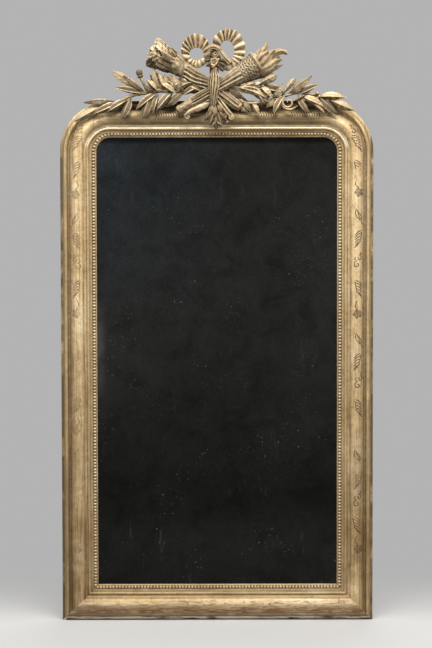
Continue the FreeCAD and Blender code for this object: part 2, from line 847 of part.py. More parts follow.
def make_torch(behind):
    length = S.torch_tail + S.torch_reach
    shaft = turned_body("torch_shaft", [
        (NONE, NONE), (S.torch_end_radius - S.flute_depth, NONE), (S.torch_end_radius, S.flute_depth),
        (S.torch_end_radius, S.torch_cap_height), (S.torch_top_radius, length), (NONE, length)],
        torch_placement(-S.torch_tail))
    low = new_sketch(shaft, "XY_Plane", S.torch_cap_height + S.flute_depth)
    circle(low, S.torch_end_radius + S.flute_radius - S.flute_depth, NONE, S.flute_radius)
    high = new_sketch(shaft, "XY_Plane", length)
    circle(high, S.torch_top_radius + S.flute_radius - S.flute_depth, NONE, S.flute_radius)
    flute = shaft.newObject("PartDesign::SubtractiveLoft", "torch_flute")
    flute.Profile = low
    flute.Sections = [high]
    doc.recompute()
    ring = shaft.newObject("PartDesign::PolarPattern", "torch_flutes")
    ring.Originals = [flute]
    ring.Axis = (next(item for item in shaft.Origin.OriginFeatures if item.Role == "Z_Axis"), [""])
    ring.Angle = 360
    bind(ring, "Occurrences", S.flute_count)
    shaft.Tip = ring
    node("torch_shaft", shaft)
    lip = S.cup_height - S.cup_rim_height
    floor = S.cup_height - S.cup_hollow
    cup = turned_body("torch_cup_turned", [
        (NONE, NONE), (S.torch_top_radius, NONE), (S.cup_foot_radius, S.cup_wall),
        (S.cup_brim_radius, lip), (S.cup_rim_radius, lip + S.cup_rim_height / 4),
        (S.cup_rim_radius, S.cup_height - S.cup_rim_height / 4), (S.cup_brim_radius, S.cup_height),
        (S.cup_brim_radius - S.cup_wall, S.cup_height), (S.cup_foot_radius, floor), (NONE, floor)],
        torch_placement(S.torch_reach), {2: -S.cup_wall / 2})
    node("torch_cup", taken_from("torch_cup", cup, behind))


# The quiver's pointed end: radius as a share of the tail's, height as a share of the point's
QUIVER_POINT_SHARES = ((0.7, 0.55), (0.45, 0.8), (1, 0.9), (1, 1))


def make_quiver(behind):
    length = S.quiver_tail + S.quiver_reach
    neck = length - S.quiver_collar
    recess = length - S.quiver_recess
    mouth = S.quiver_mouth_radius - S.quiver_wall
    points = [(NONE, NONE)]
    points += [(S.quiver_tail_radius * radius_share, S.quiver_point * height_share)
               for radius_share, height_share in QUIVER_POINT_SHARES]
    points += [(S.quiver_neck_radius, neck - S.quiver_band_height),
               (S.quiver_band_radius, neck - S.quiver_band_height), (S.quiver_band_radius, neck),
               (S.quiver_neck_radius, neck), (S.quiver_mouth_radius, length), (mouth, length),
               (mouth, recess), (NONE, recess)]
    body = turned_body("quiver_turned", points, quiver_placement(-S.quiver_tail),
                       {0: -S.quiver_wall / 2, 8: -S.quiver_wall / 4})
    flat = taken_from("quiver_flat", body, behind)
    room = doc.addObject("Part::Cone", "torch_room")
    bind(room, "Radius1", S.torch_end_radius + S.crest_gap)
    bind(room, "Radius2", S.torch_top_radius + S.crest_gap)
    bind(room, "Height", S.torch_tail + S.torch_reach)
    room.Placement = torch_placement(-S.torch_tail)
    seated = taken_from("quiver_seated", flat, nodes["moulding_top"])
    node("quiver", taken_from("quiver", seated, room))


# Carved leaves, flames and feathers

# A section, round from its left edge over its front: half breadths across, thicknesses forward
LEAF_SECTION_SHARES = ((-1, -0.25), (-0.5, 0.45), (0, 0.15), (0.5, 0.45), (1, -0.25), (0, -0.5))
ROUND_SECTION_SHARES = ((-1, 0), (-0.55, 0.4), (0, 0.5), (0.55, 0.4), (1, 0), (0.5, -0.4), (-0.5, -0.4))
# How a form swells and tapers: place along it, breadth, thickness
LEAF_LENGTH_SHARES = ((0, 0.3, 0.7), (0.2, 0.8, 1), (0.5, 1, 1), (0.8, 0.62, 0.8), (1, 0.06, 0.3))
FLAME_LENGTH_SHARES = ((0, 0.7, 1), (0.35, 1, 1), (0.7, 0.6, 0.6), (1, 0.08, 0.1))
STEM_SIDES = 8
FEATHER_LENGTH_SHARES = ((0, 0.35, 0.8), (0.3, 0.35, 0.8), (0.42, 0.9, 1), (0.9, 1, 0.9),
                         (1, 0.8, 0.6))


def skin(sections):
    """A solid with flat facets from section to section, as a carver's gouge leaves them."""
    facets = []
    for low, high in zip(sections, sections[1:]):
        for index in range(len(low)):
            following = (index + 1) % len(low)
            facets.append((low[index], low[following], high[following]))
            facets.append((low[index], high[following], high[index]))
    for end in (sections[0], sections[-1]):
        middle = sum(end, Vector()) / len(end)
        facets += [(start, finish, middle) for start, finish in zip(end, end[1:] + end[:1])]
    shell = Part.makeShell([Part.Face(Part.makePolygon(facet + facet[:1])) for facet in facets])
    form = Part.makeSolid(shell)
    return form if form.Volume > 0 else form.reversed()


def blade(root, tip, breadth, thickness, section_shares, length_shares, bow=0):
    """A form lofted from root to tip, its middle bowed forward."""
    run = tip - root
    lift = Vector(0, -bow, 0)
    sections = []
    for along, breadth_share, thickness_share in length_shares:
        spot = root + run * along + lift * (4 * along * (1 - along))
        heading = run + lift * (4 - 8 * along)
        across = heading.cross(Vector(0, 1, 0)).normalize()
        front = heading.cross(across).normalize()
        sections.append([spot + across * (breadth / 2 * breadth_share * side)
                         + front * (thickness * thickness_share * forward)
                         for side, forward in section_shares])
    return skin(sections)


def leaf(root, tip, breadth_share):
    return blade(root, tip, S.crest_rise.value * breadth_share, S.leaf_thickness.value,
                 LEAF_SECTION_SHARES, LEAF_LENGTH_SHARES, S.leaf_bow.value)


def tube(points, start_radius, end_radius):
    """A tapering stem through a few points."""
    sections = []
    last = len(points) - 1
    turns = [math.tau * side / STEM_SIDES for side in range(STEM_SIDES)]
    for index, spot in enumerate(points):
        heading = points[min(index + 1, last)] - points[max(index - 1, 0)]
        across = heading.cross(Vector(0, 1, 0)).normalize()
        front = heading.cross(across).normalize()
        radius = start_radius + (end_radius - start_radius) * index / last
        sections.append([spot + (across * math.cos(turn) + front * math.sin(turn)) * radius
                         for turn in turns])
    return skin(sections)


# Arrows: how far each row stands forward, as a share of the gap between rows, and its count
ARROW_ROW_SHARES = ((0.5, 4), (-0.5, 3))


def make_arrows():
    """Two rows of arrows that stand in the quiver's mouth and fan out."""
    floor = quiver_placement(S.quiver_reach - S.quiver_recess + S.crest_gap * 2)
    axis = floor.Rotation.multVec(Vector(0, 0, 1))
    sideways = axis.cross(Vector(0, 1, 0)).normalize()
    forward = axis.cross(sideways).normalize()
    arrows = []
    for row, count in ARROW_ROW_SHARES:
        for index in range(count):
            place_share = index - (count - 1) / 2
            root = floor.Base + sideways * (S.arrow_spread.value * place_share)
            root += forward * (S.arrow_row_gap.value * row)
            tip = root + axis * (S.arrow_reach + S.quiver_recess).value
            tip += sideways * (S.arrow_fan.value * place_share)
            arrows.append(blade(root, tip, S.feather_width.value, S.feather_thickness.value,
                                ROUND_SECTION_SHARES, FEATHER_LENGTH_SHARES))
    solid("arrows", Part.makeCompound(arrows))


# Flame tongues: along the torch past the cup's floor, across it, and breadth, as shares of the cup
FLAME_SHARES = ((1.3, 0.95, 0.55), (1.75, -0.3, 0.6), (1.25, -0.85, 0.5), (1.3, 0.3, 0.6),
                (1.55, 0.2, 0.45))
FLAME_BASE_SHARE = 0.7
FLAME_ROOT_SHARE = 0.35


def make_flame():
    """Tongues that rise from a round base on the cup's floor."""
    floor = torch_placement(S.torch_reach + S.cup_height - S.cup_hollow)
    axis = floor.Rotation.multVec(Vector(0, 0, 1))
    sideways = Vector(0, -1, 0).cross(axis).normalize()
    root_radius = S.cup_foot_radius.value * FLAME_BASE_SHARE
    base = Part.makeCylinder(root_radius, S.cup_hollow.value, floor.Base, axis)
    tongues = []
    for along, across, breadth in FLAME_SHARES:
        root = floor.Base + axis * S.cup_wall.value
        root += sideways * (root_radius * FLAME_ROOT_SHARE * across)
        tip = floor.Base + axis * (S.cup_height.value * along)
        tip += sideways * (S.cup_rim_radius.value * across)
        tongues.append(blade(root, tip, S.cup_rim_radius.value * breadth, S.cup_foot_radius.value,
                             ROUND_SECTION_SHARES, FLAME_LENGTH_SHARES, S.leaf_bow.value))
    return base.multiFuse(tongues)


# Band round the crossing

# Level as a share of the band's height, breadth and forward reach
WRAP_LEVEL_SHARES = ((0, 0.6, 0.72), (0.2, 0.85, 0.92), (0.5, 1, 1), (0.8, 0.9, 0.94), (1, 0.8, 0.8))
WRAP_SIDE_SHARE = 0.45


def make_wrap():
    """A pleated sheaf that grips the torch and the quiver where they cross."""
    height = (S.wrap_low + S.wrap_high).value
    pleats = int(S.wrap_pleat_count.value)
    sections = []
    for level, breadth, reach in WRAP_LEVEL_SHARES:
        half = S.wrap_width.value / 2 * breadth
        front = S.wrap_front.value * reach
        side = front * WRAP_SIDE_SHARE
        base = crossing + Vector(0, back_y.value - S.crest_back.value, height * level - S.wrap_low.value)
        corners = [base + Vector(half, 0, 0), base + Vector(-half, 0, 0)]
        for step in range(pleats * 2 + 1):
            angle = math.pi * (1 - step / (pleats * 2))
            sunk = 1 - (step % 2 == 0) * S.wrap_pleat.value / S.wrap_width.value * 2
            corners.append(base + Vector(half * sunk * math.cos(angle),
                                         -side - (front - side) * sunk * math.sin(angle), 0))
        sections.append(Part.makePolygon(corners + corners[:1]))
    return Part.makeLoft(sections, True, False)


# Ribbon bow: centre, half axes of its outside, centre and half axes of its hole, and where it starts
LOOP_SHARES = {
    "bow_loop_left": ((-0.145, 0.70), (0.21, 0.235), (-0.139, 0.655), (0.114, 0.092), 0.03),
    "bow_loop_right": ((0.0825, 0.715), (0.24, 0.295), (0.074, 0.705), (0.085, 0.135), 0.55),
}
LOOP_DEPTH_SHARE = 0.28
LOOP_TURN_SHARE = 0.94
INNER_RIPPLE_SHARE = 0.4
KNOT_SHARES = (-0.011, 0.643)
BERRY_SHARES = ((-0.020, 0.545), (0.018, 0.54), (-0.024, 0.49), (0.0, 0.515), (0.024, 0.48), (0.0, 0.45))
BERRY_DEPTH_SHARE = 0.45
TAIL_SHARES = ((0.0, 0.71, 0.46), (0.115, 0.47, 0.42))
TAIL_LENGTH_SHARES = ((0, 1, 1), (0.5, 0.9, 1), (1, 1.1, 1))


def make_loop(name):
    """A crimped ribbon ring, open where the knot holds it."""
    center, outer, hole_center, hole, start = LOOP_SHARES[name]
    middle = crest_point(*center, LOOP_DEPTH_SHARE)
    eye = crest_point(*hole_center, LOOP_DEPTH_SHARE)
    scale = S.crest_rise.value
    steps = int(S.ribbon_pleat_count.value) * 2
    half = S.ribbon_thickness.value / 2
    sections = []
    for step in range(steps + 1):
        angle = math.tau * (start + LOOP_TURN_SHARE * step / steps)
        wave = S.ribbon_ripple.value * (1 if step % 2 else -1)
        rim = middle + Vector(outer[0] * math.cos(angle), 0, outer[1] * math.sin(angle)) * scale
        edge = eye + Vector(hole[0] * math.cos(angle), 0, hole[1] * math.sin(angle)) * scale
        rim.y += wave
        edge.y += wave * INNER_RIPPLE_SHARE
        ahead = Vector(0, -half, 0)
        corners = [edge + ahead, rim + ahead, rim - ahead, edge - ahead]
        sections.append(Part.makePolygon(corners + corners[:1]))
    return Part.makeLoft(sections, True, True)


def make_knot():
    top = S.knot_height + S.knot_dome
    knot = turned_body("bow_knot", [(NONE, NONE), (S.knot_radius, NONE), (S.knot_radius, S.knot_height),
                                    (S.knot_radius - S.knot_dome, top), (NONE, top)],
                       Placement(crest_point(*KNOT_SHARES, 0), FACING),
                       {2: S.knot_dome * -QUARTER_RISE_SHARE})
    return node("bow_knot", knot)


def make_berries():
    """A cluster of berries on a short core that reaches back to the post."""
    spots = [crest_point(*spot, BERRY_DEPTH_SHARE) for spot in BERRY_SHARES]
    center = sum(spots, Vector()) / len(spots)
    depth = S.crest_depth.value * BERRY_DEPTH_SHARE
    core = Part.makeCylinder(S.berry_core_radius.value, depth, center + Vector(0, depth, 0),
                             Vector(0, -1, 0))
    return core.multiFuse([Part.makeSphere(S.berry_radius.value, spot) for spot in spots])


# Laurel: stems as places, leaves as root, tip, tip depth and breadth
STEM_DEPTH_SHARE = 0.47
LEFT_STEM_SHARES = ((-0.06, 0.15), (-0.25, 0.12), (-0.40, 0.12), (-0.50, 0.09), (-0.61, 0.05),
                    (-0.69, -0.02), (-0.77, -0.075), (-0.85, -0.105))
LEFT_LEAF_SHARES = (
    (-0.74, -0.05, -0.943, -0.05, 0.42, 0.10),
    (-0.70, -0.03, -0.886, -0.205, 0.50, 0.12),
    (-0.83, -0.10, -1.028, -0.305, 0.40, 0.12),
    (-0.64, 0.03, -0.772, -0.162, 0.60, 0.10),
    (-0.615, 0.04, -0.673, -0.275, 0.66, 0.12),
    (-0.41, 0.11, -0.573, -0.15, 0.62, 0.11),
    (-0.45, 0.10, -0.523, -0.275, 0.68, 0.12),
    (-0.42, 0.11, -0.452, -0.18, 0.60, 0.10),
    (-0.26, 0.12, -0.402, -0.15, 0.62, 0.12),
    (-0.25, 0.12, -0.331, 0.304, 0.42, 0.10),
    (-0.25, 0.12, -0.175, 0.233, 0.50, 0.07),
)
LEFT_TWIG_SHARES = ((-0.33, 0.155), (-0.40, 0.16), (-0.48, 0.145), (-0.56, 0.115))
LEFT_SPRIG_SHARES = (
    (-0.55, 0.12, -0.722, 0.177, 0.44, 0.10),
    (-0.54, 0.125, -0.737, 0.388, 0.40, 0.12),
    (-0.53, 0.13, -0.658, 0.332, 0.54, 0.085),
    (-0.50, 0.14, -0.552, 0.388, 0.48, 0.075),
    (-0.40, 0.155, -0.445, 0.431, 0.46, 0.11),
    (-0.42, 0.155, -0.488, 0.275, 0.54, 0.085),
    (-0.35, 0.155, -0.367, 0.304, 0.50, 0.11),
)
RIGHT_STEM_SHARES = ((0.02, 0.13), (0.10, 0.06), (0.17, -0.01), (0.24, -0.06), (0.365, -0.02),
                     (0.565, 0.05), (0.685, 0.06), (0.77, 0.02), (0.83, -0.02))
RIGHT_LEAF_SHARES = (
    (0.34, -0.03, 0.401, 0.15, 0.44, 0.10),
    (0.46, 0.01, 0.415, -0.20, 0.64, 0.11),
    (0.47, 0.015, 0.543, 0.289, 0.46, 0.09),
    (0.53, 0.04, 0.671, 0.318, 0.48, 0.11),
    (0.57, 0.05, 0.714, 0.205, 0.40, 0.10),
    (0.60, 0.05, 0.764, -0.106, 0.60, 0.10),
    (0.59, 0.05, 0.650, -0.19, 0.62, 0.10),
    (0.68, 0.06, 0.749, -0.177, 0.64, 0.07),
    (0.73, 0.04, 0.856, -0.205, 0.52, 0.11),
    (0.72, 0.05, 0.920, 0.035, 0.42, 0.10),
    (0.81, -0.01, 0.977, -0.15, 0.42, 0.12),
    (0.24, -0.06, 0.287, -0.22, 0.62, 0.085),
)
RIGHT_TWIG_SHARES = ((0.06, 0.11), (0.16, 0.155), (0.26, 0.20), (0.32, 0.24))
RIGHT_SPRIG_SHARES = (
    (0.30, 0.23, 0.429, 0.346, 0.50, 0.11),
    (0.12, 0.14, 0.365, 0.04, 0.52, 0.18),
    (0.27, 0.20, 0.395, 0.185, 0.42, 0.09),
)


def stem(shares):
    return tube([crest_point(*spot, STEM_DEPTH_SHARE) for spot in shares],
                S.stem_radius.value, S.stem_tip_radius.value)


def leaves(rows):
    return [leaf(crest_point(*row[:2], STEM_DEPTH_SHARE), crest_point(*row[2:5]), row[5]) for row in rows]


# Leaves below the crossing
SCROLL_SHARES = ((-0.03, -0.05, 0.60), (-0.12, -0.085, 0.64), (-0.19, -0.15, 0.66), (-0.215, -0.205, 0.66))
TASSEL_SHARES = ((0.0, 0.02, 0.62), (0.045, -0.08, 0.66), (0.075, -0.17, 0.68), (0.102, -0.245, 0.68))
DROP_LEAF_SHARES = (
    (-0.004, -0.05, 0.003, -0.43, 0.60, 0.14),
    (-0.01, -0.06, -0.083, -0.318, 0.64, 0.11),
    (0.005, -0.06, 0.081, -0.346, 0.64, 0.11),
)
DROP_ROOT_SHARE = 0.62


def make_scroll():
    """A leaf that rolls up into a volute at its end."""
    spots = [crest_point(*spot) for spot in SCROLL_SHARES]
    band = tube(spots, S.tassel_radius.value, S.scroll_radius.value)
    volute = Part.makeSphere(S.volute_radius.value, spots[-1])
    return band.fuse(volute)


def make_tassel():
    spots = [crest_point(*spot) for spot in TASSEL_SHARES]
    cord = tube(spots, S.tassel_radius.value, S.tassel_radius.value)
    return cord.fuse(Part.makeSphere(S.scroll_radius.value, spots[-1]))


def make_drop():
    rows = [leaf(crest_point(*row[:2], DROP_ROOT_SHARE), crest_point(*row[2:5]), row[5])
            for row in DROP_LEAF_SHARES]
    return rows[0].multiFuse(rows[1:])


def make_carving():
    """The carved pieces, each cut to make room for those that lie over it."""
    torch, quiver = torch_room(), quiver_room()
    make_arrows()
    solid("torch_flame", make_flame())
    knot = make_knot()
    doc.recompute()
    wrap = make_wrap().cut(torch + quiver + [nodes["moulding_top"].Shape])
    solid("center_wrap", wrap)
    berries = make_berries().cut([knot.Shape, wrap])
    solid("berry_cluster", berries)
    front = torch + quiver + [wrap, knot.Shape, berries]
    right = make_loop("bow_loop_right").cut(front)
    solid("bow_loop_right", right)
    left = make_loop("bow_loop_left").cut(front + [right])
    solid("bow_loop_left", left)
    strand = blade(*(crest_point(*spot) for spot in TAIL_SHARES), S.tail_width.value,
                   S.ribbon_thickness.value, ROUND_SECTION_SHARES, TAIL_LENGTH_SHARES)
    solid("bow_tail", strand.cut(front + [right]))
    scroll = make_scroll().cut(torch + quiver + [wrap])
    tassel = make_tassel().cut(torch + quiver + [wrap])
    solid("scroll_leaf", scroll)
    solid("tassel", tassel)
    drop = make_drop().cut([wrap, scroll, tassel])
    solid("acanthus_drop", drop)
    front = torch + quiver + [wrap, scroll, tassel, drop]
    for side, stem_shares, leaf_shares, twig_shares, sprig_shares in (
            ("left", LEFT_STEM_SHARES, LEFT_LEAF_SHARES, LEFT_TWIG_SHARES, LEFT_SPRIG_SHARES),
            ("right", RIGHT_STEM_SHARES, RIGHT_LEAF_SHARES, RIGHT_TWIG_SHARES, RIGHT_SPRIG_SHARES)):
        branch = stem(stem_shares).multiFuse(leaves(leaf_shares)).cut(front)
        solid(f"laurel_branch_{side}", branch)
        sprig = stem(twig_shares).multiFuse(leaves(sprig_shares)).cut(front + [branch])
        solid(f"laurel_sprig_{side}", sprig)


behind_crest = room_behind_crest()
make_mouldings()
make_beads()
make_carcase()
make_glass()
make_backboards()
make_hangers()
make_post()
make_torch(behind_crest)
make_quiver(behind_crest)
make_carving()
doc.recompute()

for thing in doc.Objects:
    if "Invalid" in thing.State or "Error" in thing.State:
        raise RuntimeError(f"{thing.Label} failed: {thing.State}")
for name, thing in nodes.items():
    if thing.Shape.isNull() or not thing.Shape.isValid():
        raise RuntimeError(f"{name} has no valid shape")

os.makedirs("parts", exist_ok=True)
for name, thing in nodes.items():
    thing.Shape.exportStep(f"parts/{name}.step")
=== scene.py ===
# Looks of the gilt mirror: aged gilding, carved detail, old glass, floor, light and camera.
# Shapes are worked out in millimetres in the model's own frame, and depths forward from the back plane.
# Places in materials are in metres.
import random
from functools import cached_property, partialmethod, reduce
from math import asin, atan2, cos, exp, pi, radians, sin, sqrt, tau
import bmesh
import bpy
from mathutils import Matrix, Vector, noise


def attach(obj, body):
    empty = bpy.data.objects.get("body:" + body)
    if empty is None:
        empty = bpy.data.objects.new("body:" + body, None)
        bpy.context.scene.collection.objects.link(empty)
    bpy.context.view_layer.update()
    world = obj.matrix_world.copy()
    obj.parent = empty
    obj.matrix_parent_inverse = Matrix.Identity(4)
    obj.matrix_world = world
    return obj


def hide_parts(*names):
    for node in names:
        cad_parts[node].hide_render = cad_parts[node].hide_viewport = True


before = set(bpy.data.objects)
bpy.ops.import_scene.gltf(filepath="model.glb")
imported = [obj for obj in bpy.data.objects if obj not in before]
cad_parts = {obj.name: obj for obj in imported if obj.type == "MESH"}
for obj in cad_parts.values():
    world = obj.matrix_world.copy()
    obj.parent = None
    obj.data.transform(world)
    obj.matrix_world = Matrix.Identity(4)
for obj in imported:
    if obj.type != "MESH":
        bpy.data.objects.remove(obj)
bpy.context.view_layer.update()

SEED = 11
random.seed(SEED)
noise.seed_set(SEED)
scene = bpy.context.scene
BACK = Vector((0, 1, 0))
FRONT = Vector((0, -1, 0))
HANDS = (("left", -1), ("right", 1))

# Frame: half width, height without the crest, radius of the upper corners, plane that the gilt lengths lie on
HALF, TOP, ROUND, BED = 450.0, 1500.0, 145.0, -14.0
TURN, REACH = TOP - ROUND, HALF - ROUND
# Plane that depths are counted from, and plane that the crest's carving doesn't pass
BACK_PLANE, CREST_BACK = 14, -22.0

# Camera, fitted to the photograph
CAMERA = Vector((-3.1, -4214.0, 1024.7))
PITCH = 0.03939
ROLL = -0.00203
FOCAL = 1452.5
IMAGE = (432, 648)


def spot(px, py, depth):
    """The point that shows at a pixel of the photograph, at a depth forward of the back plane."""
    x, y = px - IMAGE[0] / 2, py - IMAGE[1] / 2
    right = (cos(ROLL) * x + sin(ROLL) * y) / FOCAL
    up = (sin(ROLL) * x - cos(ROLL) * y) / FOCAL
    ray = Vector((right, cos(PITCH) + up * sin(PITCH), up * cos(PITCH) - sin(PITCH)))
    return CAMERA + ray * ((BACK_PLANE - depth - CAMERA.y) / ray.y)


def spots(*points):
    return [spot(*point) for point in points]


# Materials

class Graph:
    """The node tree of a material or of the world, with short calls for the nodes that are used here."""

    def __init__(self, owner):
        owner.use_nodes = True
        self.owner, self.tree = owner, owner.node_tree
        self.tree.nodes.clear()

    @cached_property
    def coords(self):
        return self.node("TexCoord").outputs["Object"]

    @cached_property
    def xyz(self):
        return self.node("SeparateXYZ", Vector=self.coords).outputs

    def node(self, kind, settings=None, **inputs):
        made = self.tree.nodes.new("ShaderNode" + kind)
        for name, value in (settings or {}).items():
            setattr(made, name, value)
        for name, value in inputs.items():
            self.feed(made.inputs[name.replace("_", " ")], value)
        return made

    def feed(self, socket, value):
        if isinstance(value, bpy.types.NodeSocket):
            self.tree.links.new(value, socket)
        else:
            socket.default_value = (*value, 1) if socket.type == "RGBA" else value

    def stretched(self, *scale):
        return self.node("Mapping", Vector=self.coords, Scale=scale).outputs["Vector"]

    def noise(self, scale, detail=4, roughness=0.55, distortion=0, vector=None):
        return self.node("TexNoise", Vector=vector or self.coords, Scale=scale, Detail=detail,
                         Roughness=roughness, Distortion=distortion).outputs["Fac"]

    def streaks(self, scale, *pattern):
        """Noise that is drawn out along the axes with a small scale."""
        return self.noise(1.0, *pattern, vector=self.stretched(*scale))

    def ramp(self, value, *stops):
        """A colour at each stop of a value; one number stands for a grey."""
        made = self.node("ValToRGB", Fac=value)
        elements = made.color_ramp.elements
        while len(elements) < len(stops):
            elements.new(0.5)
        for element, (place, shade) in zip(elements, stops):
            element.position = place
            element.color = (*shade, 1) if isinstance(shade, tuple) else (shade, shade, shade, 1)
        return made.outputs["Color"]

    def math(self, operation, a, b=0.0, clamp=False):
        made = self.node("Math", {"operation": operation, "use_clamp": clamp})
        self.feed(made.inputs[0], a)
        self.feed(made.inputs[1], b)
        return made.outputs[0]

    def chain(self, operation, *parts):
        return reduce(lambda a, b: self.math(operation, a, b), parts)

    times = partialmethod(chain, "MULTIPLY")
    plus = partialmethod(chain, "ADD")
    most = partialmethod(chain, "MAXIMUM")

    def length(self, a, b):
        return self.math("SQRT", self.plus(self.times(a, a), self.times(b, b)))

    def mix(self, share, a, b, kind="MIX"):
        made = self.node("Mix", {"data_type": "RGBA", "blend_type": kind})
        for at, value in ((0, share), (6, a), (7, b)):
            self.feed(made.inputs[at], value)
        return made.outputs[2]

    def tinted(self, colour, *shades):
        return reduce(lambda a, b: self.mix(1.0, a, b, "MULTIPLY"), shades, colour)

    def between(self, value, low, high):
        """0 at low and 1 at high."""
        return self.node("MapRange", Value=value, From_Min=low, From_Max=high).outputs[0]

    def patches(self, low, high, *pattern):
        """Noise, spread from 0 at low to 1 at high."""
        return self.between(self.noise(*pattern), low, high)

    def zone(self, value, *borders):
        """1 inside soft borders, each given by where it is 0 and where it is 1."""
        return self.times(*(self.between(value, *border) for border in borders))

    def bump(self, height, strength, distance):
        return self.node("Bump", Height=height, Strength=strength, Distance=distance).outputs[0]

    def blend(self, share, a, b):
        made = self.node("MixShader", Fac=share)
        self.feed(made.inputs[1], a.outputs[0])
        self.feed(made.inputs[2], b.outputs[0])
        return made

    def surface(self, shader, output="OutputMaterial"):
        self.node(output, Surface=shader.outputs[0])
        return self.owner

    def principled(self, **inputs):
        return self.surface(self.node("BsdfPrincipled", **inputs))


def new_material(name):
    return Graph(bpy.data.materials.new(name))


# Gold leaf from dark to pale, dirt with painted shade, painted shadow under the crest, and the bole and gesso
# beneath
GOLDS = ((0.34, (0.43, 0.295, 0.135)), (0.5, (0.69, 0.505, 0.27)), (0.64, (0.84, 0.69, 0.44)))
DIRT_AND_SHADE = (0.058, 0.038, 0.018)
CREST_SHADOW_COLOUR = (0.020, 0.013, 0.007)
BOLE = (0.35, 0.185, 0.098)
GESSO = (0.66, 0.60, 0.50)

# Smooth lengths and carving: occlusion at which near and wide hollows darken with dirt and painted shade, faces
# that look down and the share of painted shade they get, roughness, strength of the grain
SMOOTH = ((0.38, 0.92), (0.25, 0.78), (0.05, -0.75), 0.4, (-1.05, 1.5), 0.2)
CARVED = ((0.56, 0.98), (0.42, 0.94), (0.48, -0.62), 0.9, (-0.85, 1.7), 0.6)
NEAR, WIDE = 0.009, 0.045


def gilt(name, shadow, wear, tone=1.0, grey=0.0, shine=0.78, on_frame=False, plinth=False, pearls=False):
    """Gold leaf on gesso: painted highlights, dirt with painted shade in hollows, painted shade below, bole where
    worn through.
    """
    g = new_material(name)
    near, wide, downward, underside_shade, roughness, grain_strength = SMOOTH if on_frame else CARVED
    broad, mottle, grain = g.noise(5.5, 5, 0.6), g.noise(48, 5, 0.65, 0.4), g.noise(420, 3, 0.6)
    shades = [(place, tuple((part + (gold[1] - part) * grey) * tone for part in gold)) for place, gold in GOLDS]
    colour = g.ramp(g.plus(g.times(broad, 0.55), g.times(mottle, 0.45)), *shades)
    normal = g.node("SeparateXYZ", Vector=g.node("NewGeometry").outputs["Normal"]).outputs
    # Painted shade on faces that look down; near and wide hollows darken with dirt and painted shade together
    dirt_and_shade = g.times(g.between(normal["Z"], *downward), underside_shade)
    for distance, (deep, free) in ((NEAR, near), (WIDE, wide)):
        light = g.node("AmbientOcclusion", {"samples": 6}, Distance=distance).outputs["AO"]
        dirt_and_shade = g.most(dirt_and_shade, g.ramp(light, (deep, 1.0), (free, 0.0)))
    dirt_and_shade = g.times(dirt_and_shade, shadow, g.patches(0.20, 0.55, 90, 3))
    # Painted shadow under the top row of pearls, on their lower halves and the gap below
    if pearls:
        x, _, z = g.xyz
        top_pearl_shadow = g.zone(z, (1.4052, 1.4032), (1.388, 1.392))
        dirt_and_shade = g.most(dirt_and_shade, g.times(top_pearl_shadow, g.between(g.math("ABSOLUTE", x), 0.318, 0.305), 0.85))
    if on_frame:
        colour, dirt_and_shade, crest_shadow = age_and_light_frame(g, colour, dirt_and_shade, normal["Y"])
    colour = g.mix(g.times(dirt_and_shade, 0.94), colour, DIRT_AND_SHADE)
    # Painted shadow beneath the crest
    if on_frame:
        colour = g.mix(g.times(crest_shadow, 0.6), colour, CREST_SHADOW_COLOUR)
    rub = g.ramp(g.noise(26, 6, 0.72, 0.8), (0.60 - 0.05 * wear, 0.0), (0.68 - 0.04 * wear, 1.0))
    bole = g.times(rub, wear)
    if plinth:
        colour, bole = wear_and_highlight_foot(g, colour, bole)
    colour = g.mix(bole, colour, BOLE)
    metal = g.math("SUBTRACT", shine, g.most(g.times(dirt_and_shade, 0.72), g.times(bole, 0.6)), clamp=True)
    if plinth:
        colour, metal = bare_foot(g, colour, metal)
    rough = g.plus(g.between(mottle, *roughness), g.times(dirt_and_shade, 0.35))
    height = g.plus(g.times(grain, 0.35), mottle)
    return g.principled(Base_Color=colour, Metallic=metal, Roughness=rough,
                        Normal=g.bump(height, grain_strength, 0.0016), Specular_IOR_Level=0.25)


